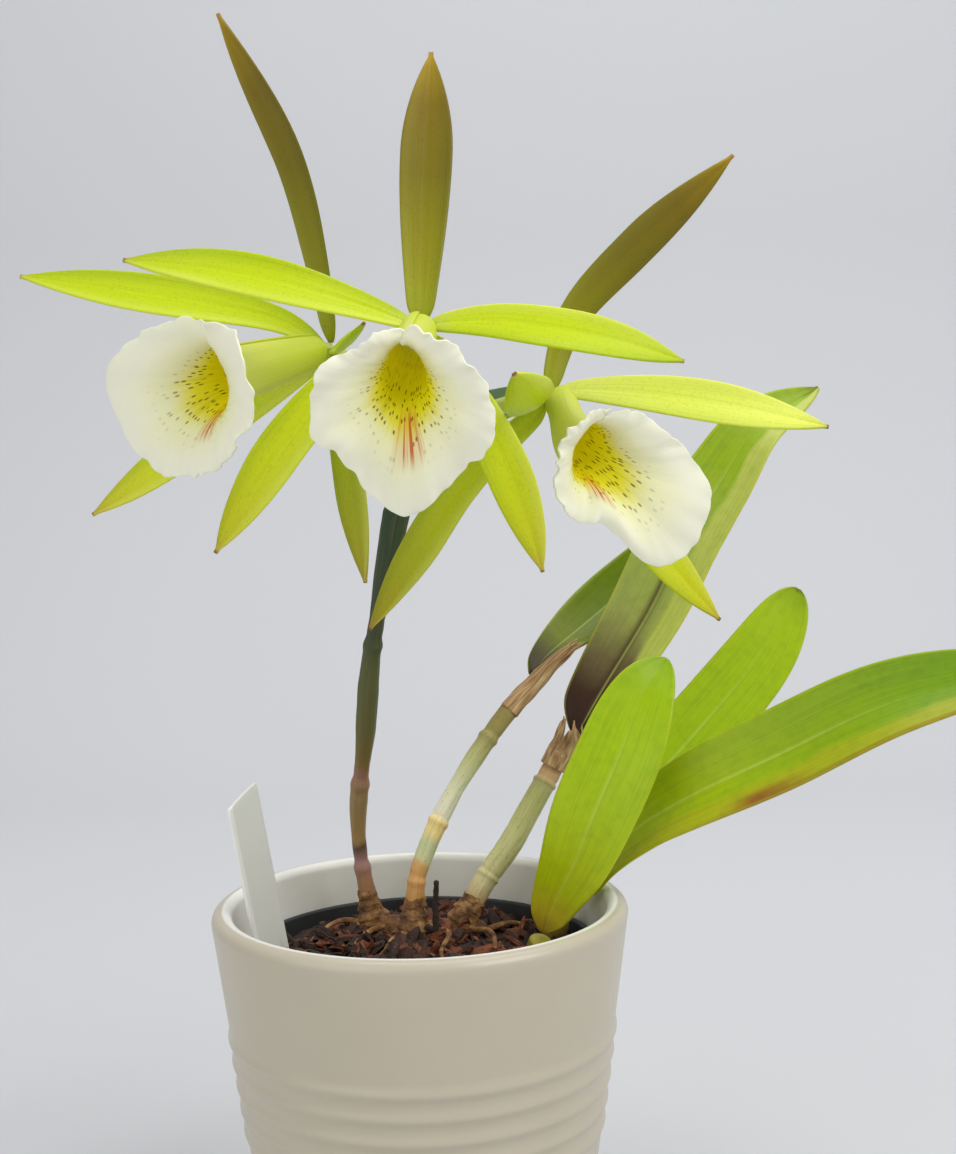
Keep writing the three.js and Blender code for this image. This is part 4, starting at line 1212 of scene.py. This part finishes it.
def leaf_finish(name, leaf, settings):
    """Waxy leaf: colour along it, fine parallel veins, midrib, margin, mottling, its own stains, a strip of other
    colour down one side that on some leaves is painted light, and painted shade down the channel.
    """
    finish = Finish(name, roughness=0.4, specular_ior_level=0.3)
    around, along = finish.uv()
    s = around * 2 - 1
    patch = finish.noise(70, detail=3.0)
    colour = finish.ramp(along + (patch - 0.5) * 0.10, *leaf["colours"])
    # Strip down one side: the underside's colour on the long right leaf, painted light on the upper leaf.
    if "strip" in leaf:
        start, share, tint = leaf["strip"]
        colour = finish.mix((s + (patch - 0.5) * 0.5).over(start, start + 0.25) * share, colour, tint)
    # Painted shade: a dark line down the channel near the base, where the fold lies in shadow.
    if "channel_shade" in leaf:
        line = 1 - abs(s + 0.04).over(0.0, 0.16 + patch * 0.1)
        colour = finish.mix(line * (1 - along.over(0.34, 0.5)) * 0.85, colour, leaf["channel_shade"])
    if "stain" in leaf:
        middle, width, tint = leaf["stain"]
        spot = 1 - abs(along - middle + (patch - 0.5) * 0.1).over(0.0, width)
        colour = finish.mix(spot * s.over(0.55, 0.85), colour, tint)
        colour = finish.mix(s.over(0.88, 0.97) * along.over(0.1, 0.5) * 0.6, colour, tint)
    veins = finish.stripes(around * 46, along * 2.5)
    colour = finish.shade(veins.over(0.45, 0.7) * 0.5, colour, srgb(218, 224, 190))
    rib = 1 - abs(s).over(0.0, 0.07)
    colour = finish.mix(rib * (1 - along.over(0.4, 0.8)) * 0.35, colour, settings.rib[:])
    margin = abs(s).over(0.93, 1.0)
    colour = finish.mix(margin * 0.4, colour, settings.margin[:])
    mottle = finish.noise(420, detail=4.0)
    colour = finish.shade(mottle.over(0.4, 0.75) * 0.5, colour, srgb(224, 232, 200))
    finish.feed("Roughness", 0.34 + mottle * 0.16)
    finish.bump(veins + mottle * 0.3, strength=0.25, distance=0.2)
    return finish.done(colour)


class ORCHID_OT_leaves(bpy.types.Operator):
    """Grows the strap leaves"""

    bl_idname = "orchid.leaves"
    bl_label = "Leaves"

    def execute(self, context):
        settings = context.scene.orchid_leaves
        for name, leaf in LEAVES.items():
            spec = {**LEAF_BASICS, **leaf}
            finish = leaf_finish(titled(name), leaf, settings)
            slot = "leaf_dark" if name == "leaf_flowering" else "leaf_green"
            obj = piece(blade(spec, 16, 64, crease=0.25), name + "_blade", [name], slot, finish)
            weigh_edges(obj, 0.55)
            thicken(obj, settings.thickness / MM)
        return {"FINISHED"}


def cuff(sheath, seed):
    """Sheet rolled round a route and torn into points at its far end."""
    route = Route(sheath["path"])
    front = Vector(sheath["front"])

    def place(u, v):
        s = 2 * u - 1
        rip = sheath["tear"] * (0.5 + 0.5 * math.cos(3 * math.pi * s) + ripple(s * 5, seed, 1))
        t = v * min(1 - rip * 0.8, 1)
        along = route.along(t)
        outward = (front - along * front.dot(along)).normalized()
        turn = math.radians(listed(sheath["cover"], t)) * s
        crease = 0.25 * math.sin(9 * s) + 0.45 * ripple(s * 3, t * 5, seed)
        radius = listed(sheath["radii"], t) + crease * (0.4 + t)
        return route.at(t) + (outward * math.cos(turn) + along.cross(outward) * math.sin(turn)) * radius

    return grid(28, 30, place)


class ORCHID_OT_sheaths(bpy.types.Operator):
    """Makes the dried sheaths at the tops of the old canes"""

    bl_idname = "orchid.sheaths"
    bl_label = "Dried Sheaths"

    def execute(self, context):
        finish = Finish("Papery Sheath", roughness=0.75)
        around, along = finish.uv()
        stripe = finish.stripes(around * 18, along * 3, detail=4.0)
        colour = finish.ramp(stripe, (0.3, 120, 84, 48), (0.55, 186, 150, 104), (0.75, 222, 196, 152))
        finish.bump(stripe, strength=0.7, distance=0.3)
        skin = finish.done(colour)
        for seed, (name, sheath) in enumerate(SHEATHS.items()):
            obj = piece(cuff(sheath, seed * 5.3), name + "_cuff", [name], "papery_sheath", skin)
            thicken(obj, 0.35)
        return {"FINISHED"}


# Colour ramps along a tepal from foot to tip. The shaded ramp is a painted-shade copy for tepals that lie in shade,
# and the pale ramp is a painted-light copy for a brightly lit petal.
TEPAL_COLOURS = {
    "fresh": (
        (0.0, 214, 226, 90), (0.1, 206, 224, 20), (0.45, 204, 224, 4),
        (0.88, 196, 216, 4), (0.95, 204, 210, 40), (0.975, 196, 190, 60),
        (0.99, 150, 96, 70),
    ),
    "pale": (
        (0.0, 226, 234, 110), (0.3, 228, 240, 84), (0.8, 236, 246, 92),
        (0.95, 228, 232, 96), (0.975, 206, 200, 90), (0.99, 150, 96, 70),
    ),
    "golden": (
        (0.0, 220, 230, 70), (0.3, 208, 222, 16), (0.6, 206, 216, 10),
        (0.85, 206, 206, 20), (0.96, 202, 184, 60), (0.99, 140, 84, 50),
    ),
    "shaded": (
        (0.0, 186, 200, 30), (0.3, 180, 192, 6), (0.65, 172, 176, 6),
        (0.9, 170, 158, 20), (0.97, 178, 144, 56), (0.99, 130, 80, 50),
    ),
    "bronze": (
        (0.0, 158, 164, 12), (0.15, 146, 142, 4), (0.45, 122, 110, 0),
        (0.7, 126, 106, 0), (0.9, 160, 132, 6), (0.96, 184, 146, 30),
        (0.99, 180, 140, 70),
    ),
}


def tepal_finish(kind, glow):
    """Soft, waxy tepal with fine veins, painted shade over its lower side, a painted highlight along its upper edge
    and a browned tip.
    """
    finish = Finish(kind.title() + " Tepal", roughness=0.42, specular_ior_level=0.3)
    around, along = finish.uv()
    s = around * 2 - 1
    patch = finish.noise(120, detail=3.0)
    colour = finish.ramp(along + (patch - 0.5) * 0.08, *TEPAL_COLOURS[kind])
    veins = finish.stripes(around * 30, along * 1.5)
    colour = finish.shade(veins.over(0.5, 0.72) * 0.6, colour, srgb(222, 228, 190))
    grain = finish.noise(1800, detail=2.0)
    colour = finish.shade(grain.over(0.5, 0.75) * 0.5, colour, srgb(226, 230, 190))
    # Painted shade over the lower side and a painted highlight along the upper edge, as a cupped tepal catches the
    # light from above.
    lower = s.over(0.2, 1.0)
    colour = finish.shade(lower * 0.5, colour, srgb(206, 214, 160))
    colour = finish.mix((1 - s.over(-0.95, -0.3)) * glow, colour, srgb(236, 240, 120))
    finish.feed("Roughness", 0.36 + grain * 0.12)
    finish.bump(veins + grain * 0.2, strength=0.22, distance=0.15)
    return finish.done(colour)


class ORCHID_OT_tepals(bpy.types.Operator):
    """Opens the sepals and petals"""

    bl_idname = "orchid.tepals"
    bl_label = "Sepals And Petals"

    def execute(self, context):
        settings = context.scene.orchid_flowers
        # The second value is the strength of the painted highlight along each tepal's upper edge.
        finishes = {kind: tepal_finish(kind, 0.05 if kind == "bronze" else 0.25) for kind in TEPAL_COLOURS}
        for flower_name, flower in FLOWERS.items():
            hub = Vector(flower["centre"])
            for part, tepal in flower["tepals"].items():
                petal = part.startswith("petal")
                spec = {
                    "shape": PETAL_SHAPE if petal else SEPAL_SHAPE, "facing": flower["facing"],
                    "channel": 0.9 if petal else 0.7, "wave": 0.3 if petal else 0.15, "waves": 1.2,
                    "phase": flower["phase"], "kind": "fresh", **tepal,
                }
                foot = Vector(spec["path"][0])
                spec["path"] = [foot.lerp(hub, HUB_REACH), *spec["path"]]
                dorsal = part == "sepal_dorsal"
                kind = "bronze" if dorsal else spec["kind"]
                node = f"{flower_name}_flower_{part}"
                obj = piece(
                    blade(spec, 12, 44, crease=0.12), node + "_blade", [node],
                    "tepal_olive" if dorsal else "tepal_green", finishes[kind])
                weigh_edges(obj, 0.6)
                thicken(obj, settings.tepal_thickness / MM)
        return {"FINISHED"}


def cubic(t):
    """Weights of a cubic blend: start place, leaving pull, end place, arriving pull."""
    rest = 1 - t
    return (1 + 2 * t) * rest ** 2, t * rest ** 2, t ** 2 * (3 - 2 * t), -t ** 2 * rest


def curved(values, t):
    """Value at t in 0..1 on a smooth curve through evenly spaced values."""
    place = min(max(t, 0), 1) * (len(values) - 1)
    low = min(int(place), len(values) - 2)
    a, b, c, d = (values[min(max(low + i, 0), len(values) - 1)] for i in (-1, 0, 1, 2))
    start, leave, end, arrive = cubic(place - low)
    return start * b + leave * (c - a) / 2 + end * c + arrive * (d - b) / 2


class Trumpet:
    """Surface of a flower's lip."""

    def __init__(self, flower):
        self.flower = flower
        self.phase = flower["phase"]
        self.root = Vector(flower["centre"]) + Vector(flower["facing"]).normalized() * LIP_ROOT_OFFSET
        self.aim = Vector(flower["aim"]).normalized()
        self.throat = Vector(flower["throat"])
        self.axis = Vector(flower["bell"]).normalized()
        self.up = (Vector((0, 0, 1)) - self.axis * self.axis.z).normalized()
        self.side = self.axis.cross(self.up)

    def tube(self, t):
        """Centre line of the tube, from the flower's middle to the throat."""
        start, leave, end, arrive = cubic(t)
        pull = (self.throat - self.root).length
        return self.root * start + self.aim * leave * pull + self.throat * end + self.axis * arrive * pull

    def point(self, u, v):
        """v runs along the lip from its root to its rim, u round it from one edge of the slit to the other."""
        turn = (2 * u - 1) * math.pi * LIP_SLIT
        floor = max(math.cos(turn), 0) ** 2
        crown = max(-math.cos(turn), 0) ** 4
        throat = THROAT_SIDE + THROAT_FLOOR * floor + THROAT_CROWN * crown
        rim = curved(self.flower["rim"], u)
        forward = curved(self.flower["reach"], u)
        swing = math.hypot(rim - throat, forward)
        tube = min(v / LIP_THROAT, 1)
        bell = max((v - LIP_THROAT) / (1 - LIP_THROAT), 0)
        start, leave, end, arrive = cubic(bell)
        margin = bell ** 6
        crinkle = ripple(turn * 2.6, v * 4, self.phase) * CRINKLE * bell ** 2
        frill = ripple(turn * 9, v * 3, self.phase + 7) * FRILL * margin
        scallop = (ripple(turn * 14, self.phase, 2.5) + 0.8 * ripple(turn * 5, 3, self.phase)) * FRILL * margin
        fold = FOLD * bell * (1 - bell) * math.sin(23 * turn + 2 * ripple(turn, v * 2, 4))
        overlap = 0.5 * (u - 0.5)
        radius = (
            LIP_TUBE_RADIUS + overlap + (throat - LIP_TUBE_RADIUS) * tube ** 0.8 + (start - 1) * throat + end * rim
            + arrive * RIM_PULL * swing * math.sin(RIM_FLARE) + scallop)
        reach = (
            leave * THROAT_PULL * swing + end * forward + arrive * RIM_PULL * swing * math.cos(RIM_FLARE)
            + RUFFLE * bell ** 2.5 * math.sin(7 * turn + self.phase) + crinkle + frill + fold)
        return (
            self.tube(tube) + self.axis * reach
            - self.up * (radius * math.cos(turn)) + self.side * (radius * math.sin(turn)))


def lip_inside(settings):
    """Cream skirt running into a yellow throat with rows of short dashes and a red-orange streak, with painted shade
    inside the upper lobes and the tube, and a painted glow in the tube.
    """
    finish = Finish("Lip Inside", roughness=0.5, specular_ior_level=0.3, emission_strength=0.13)
    around, along = finish.uv()
    s = around * 2 - 1
    floor = 1 - abs(s).over(0.15, 0.75)
    wander = finish.stripes(s * 22, along * 2) - 0.5
    depth = along - floor * 0.10 + wander * 0.10
    throat = 1 - depth.over(0.40, 0.58)
    glow = 1 - depth.over(0.46, 0.86)
    olive = (1 - along.over(0.26, 0.50)) * (1 - floor * 0.5)
    veins = finish.stripes(s * 44, along * 3)
    colour = finish.mix(glow * 0.7, settings.lip[:], srgb(240, 240, 158))
    # Painted shade: tan inside the upper lobes and deep in the bell, away from the floor.
    colour = finish.mix((1 - along.over(0.45, 0.80)) * (1 - floor) * 0.55, colour, srgb(206, 196, 140))
    colour = finish.mix(throat, colour, settings.throat[:])
    # Olive tint inside the tube: part the tube's own colour, part painted shade.
    colour = finish.mix(olive * 0.35, colour, srgb(206, 196, 24))
    colour = finish.mix(veins.over(0.5, 0.7) * throat * 0.5, colour, srgb(196, 184, 6))
    cells = {"Vector": finish.vector(s * 29, along * 15), "Scale": 1.0, "Randomness": 0.85}
    flat = {"voronoi_dimensions": "2D", "feature": "F1"}
    cell = finish.node("ShaderNodeTexVoronoi", flat, cells, out="Distance")
    chance = finish.node("ShaderNodeTexVoronoi", flat, cells, out="Color")
    dots = (1 - (cell + along * 0.16).over(0.22, 0.34)) * chance.over(0.36, 0.44)
    zone = along.over(0.24, 0.34) * (1 - depth.over(0.46, 0.62)) + (1 - depth.over(0.58, 0.74)) * floor * 0.3
    colour = finish.mix(dots * zone.least(1.0) * 0.85, colour, settings.speck[:])
    lines = finish.stripes(s * 60, along * 1.2, detail=1.0).over(0.50, 0.60)
    ending = 1 - (along + wander * 0.1).over(0.66, 0.78)
    streak = (1 - abs(s + 0.01).over(0.02, 0.10)) * along.over(0.40, 0.52) * ending
    colour = finish.mix(streak * (0.25 + lines * 0.7), colour, settings.streak[:])
    # Painted light: the inside of the tube glows a little through the emission set on this finish, standing in for
    # light shining through the thin tissue.
    painted_glow = 1 - along.over(0.22, 0.48)
    finish.feed("Emission Color", finish.mix(painted_glow, (0, 0, 0), colour))
    finish.feed("Roughness", 0.46 + veins * 0.1)
    finish.bump(veins, strength=0.3, distance=0.2)
    return finish.done(colour)


def lip_outside(settings):
    """Back of the lip: greenish tube, cream skirt."""
    finish = Finish("Lip Outside", roughness=0.5, specular_ior_level=0.3)
    around, along = finish.uv()
    veins = finish.stripes(around * 60, along * 3)
    colour = finish.ramp(
        along, (0.0, 200, 214, 50), (0.25, 206, 214, 80), (0.42, 214, 218, 120),
        (0.62, settings.lip[:]))
    colour = finish.mix(veins.over(0.5, 0.7) * 0.2, colour, srgb(200, 204, 120))
    finish.bump(veins, strength=0.3, distance=0.2)
    return finish.done(colour)


class ORCHID_OT_lips(bpy.types.Operator):
    """Shapes the ruffled trumpet lips"""

    bl_idname = "orchid.lips"
    bl_label = "Lips"

    def execute(self, context):
        settings = context.scene.orchid_flowers
        inside, outside = lip_inside(settings), lip_outside(settings)
        for name, flower in FLOWERS.items():
            bm = grid(120, 60, Trumpet(flower).point)
            node = name + "_flower_lip"
            obj = piece(bm, node + "_ruffled", [node], "lip_cream", inside, outside)
            weigh_edges(obj, 0.55)
            thicken(obj, settings.lip_thickness / MM, back_slot=1)
        return {"FINISHED"}


def green_stem_finish(name, low, high, tint):
    """Fresh stalk: colour along it with faint ridges."""
    finish = Finish(name, roughness=0.4, subsurface_weight=0.1, subsurface_scale=0.6 * MM)
    around, along = finish.uv()
    stripe = finish.stripes(around * 16, along * 3)
    colour = finish.ramp(along, (0.0, low), (1.0, high))
    colour = finish.mix(stripe.over(0.4, 0.75) * 0.4, colour, tint)
    finish.bump(stripe, strength=0.3, distance=0.2)
    return finish.done(colour)


class ORCHID_OT_stalks(bpy.types.Operator):
    """Makes the flower stalk, the ovaries and the columns"""

    bl_idname = "orchid.stalks"
    bl_label = "Stalk, Ovaries And Columns"

    def execute(self, context):
        stalk = green_stem_finish("Stalk", srgb(120, 140, 50), srgb(170, 186, 80), srgb(110, 130, 40))
        ovary = green_stem_finish("Ovary", srgb(166, 180, 60), srgb(200, 214, 110), srgb(150, 168, 50))
        column = green_stem_finish("Column", srgb(206, 216, 110), srgb(226, 228, 140), srgb(190, 204, 90))
        def ribs(u, v, radius):
            return radius + 0.08 * math.sin(2 * math.pi * 6 * u)

        round_off(piece(tube(STALK, 20, 30, ribs), "flower_stalk_skin", ["flower_stalk"], "stalk_green", stalk))
        for name, flower in FLOWERS.items():
            trumpet = Trumpet(flower)
            centre = Vector(flower["centre"])
            facing = Vector(flower["facing"]).normalized()
            path = [*map(Vector, flower["pedicel"]), centre + facing * 0.6]
            node = name + "_flower_ovary"
            bm = tube({"path": path, "radii": OVARY_RADII}, 20, 60, ribs, (0.8, 1.6))
            round_off(piece(bm, node + "_skin", [node], "stalk_green", ovary))
            path = [centre - facing * 0.2, *(
                trumpet.tube(share) + trumpet.up * rise for share, rise in (COLUMN_BEND, COLUMN_TIP))]
            node = name + "_flower_column"
            bm = tube({"path": path, "radii": COLUMN_RADII}, 20, 40, lambda u, v, radius: radius, (0.8, 1.6))
            round_off(piece(bm, node + "_skin", [node], "stalk_green", column))
        return {"FINISHED"}


class ORCHID_OT_stage(bpy.types.Operator):
    """Sets the camera, the soft lights and the pale floor"""

    bl_idname = "orchid.stage"
    bl_label = "Stage"

    def execute(self, context):
        scene = context.scene
        settings = scene.orchid_stage
        data = bpy.data.cameras.new("Camera")
        data.lens = settings.lens
        data.sensor_width = SENSOR_WIDTH
        data.sensor_fit = "AUTO"
        data.clip_start = CLIP_START
        camera = bpy.data.objects.new("Camera", data)
        pitch = Matrix.Rotation(math.pi / 2 - settings.camera_pitch, 4, "X")
        roll = Matrix.Rotation(settings.camera_roll, 4, "Z")
        camera.matrix_world = Matrix.Translation(CAMERA_PLACE) @ pitch @ roll
        scene.collection.objects.link(camera)
        scene.camera = camera

        finish = Finish("Floor", roughness=0.85)
        bm = bmesh.new()
        outline = [(-FLOOR_REACH, 0), *arc((FLOOR_BACK, FLOOR_BEND), FLOOR_BEND, -90, 0, 16)]
        outline += [(FLOOR_BACK + FLOOR_BEND, FLOOR_REACH)]
        verts = [bm.verts.new((-FLOOR_REACH, y, z)) for y, z in outline]
        edges = [bm.edges.new(pair) for pair in zip(verts, verts[1:])]
        made = bmesh.ops.extrude_edge_only(bm, edges=edges)["geom"]
        bmesh.ops.translate(
            bm, verts=[g for g in made if isinstance(g, bmesh.types.BMVert)], vec=(2 * FLOOR_REACH, 0, 0))
        bmesh.ops.recalc_face_normals(bm, faces=bm.faces)
        mesh = bpy.data.meshes.new("floor")
        bm.to_mesh(mesh)
        bm.free()
        mesh.materials.append(finish.done(settings.floor[:]))
        mesh.shade_smooth()
        floor = bpy.data.objects.new("floor", mesh)
        scene.collection.objects.link(floor)

        for name, setting, share, size, spot in LIGHTS:
            lamp = bpy.data.lights.new(name, "AREA")
            lamp.energy = getattr(settings, setting) * share
            lamp.size = size
            light = bpy.data.objects.new(name, lamp)
            aim = LIGHT_TARGET - Vector(spot)
            light.matrix_world = Matrix.Translation(spot) @ aim.to_track_quat("-Z", "Y").to_matrix().to_4x4()
            scene.collection.objects.link(light)

        world = bpy.data.worlds.new("Studio")
        world.use_nodes = True
        world.node_tree.nodes["Background"].inputs["Color"].default_value = (1, 1, 1, 1)
        world.node_tree.nodes["Background"].inputs["Strength"].default_value = WORLD_STRENGTH
        scene.world = world
        scene.view_settings.view_transform = "Standard"
        return {"FINISHED"}


STEPS = (
    ORCHID_OT_stage,
    ORCHID_OT_cover_pot,
    ORCHID_OT_nursery_pot,
    ORCHID_OT_bark,
    ORCHID_OT_rhizome,
    ORCHID_OT_growths,
    ORCHID_OT_label,
    ORCHID_OT_canes,
    ORCHID_OT_sheaths,
    ORCHID_OT_leaves,
    ORCHID_OT_tepals,
    ORCHID_OT_lips,
    ORCHID_OT_stalks,
)


class ORCHID_PT_panel(bpy.types.Panel):
    """Lists the steps and their settings"""

    bl_idname = "ORCHID_PT_panel"
    bl_label = "Orchid"
    bl_space_type = "VIEW_3D"
    bl_region_type = "UI"
    bl_category = "Orchid"

    def draw(self, context):
        for group, kind in GROUPS.items():
            box = self.layout.box()
            for name in kind.__annotations__:
                box.prop(getattr(context.scene, group), name)
        for step in STEPS:
            self.layout.operator(step.bl_idname)


def register():
    for kind in (*GROUPS.values(), *STEPS, ORCHID_PT_panel):
        bpy.utils.register_class(kind)
    for group, kind in GROUPS.items():
        setattr(bpy.types.Scene, group, PointerProperty(type=kind))


def unregister():
    for group in GROUPS:
        delattr(bpy.types.Scene, group)
    for kind in reversed((*GROUPS.values(), *STEPS, ORCHID_PT_panel)):
        bpy.utils.unregister_class(kind)


def main():
    register()
    for step in STEPS:
        family, name = step.bl_idname.split(".")
        getattr(getattr(bpy.ops, family), name)()


if __name__ == "__main__":
    main()
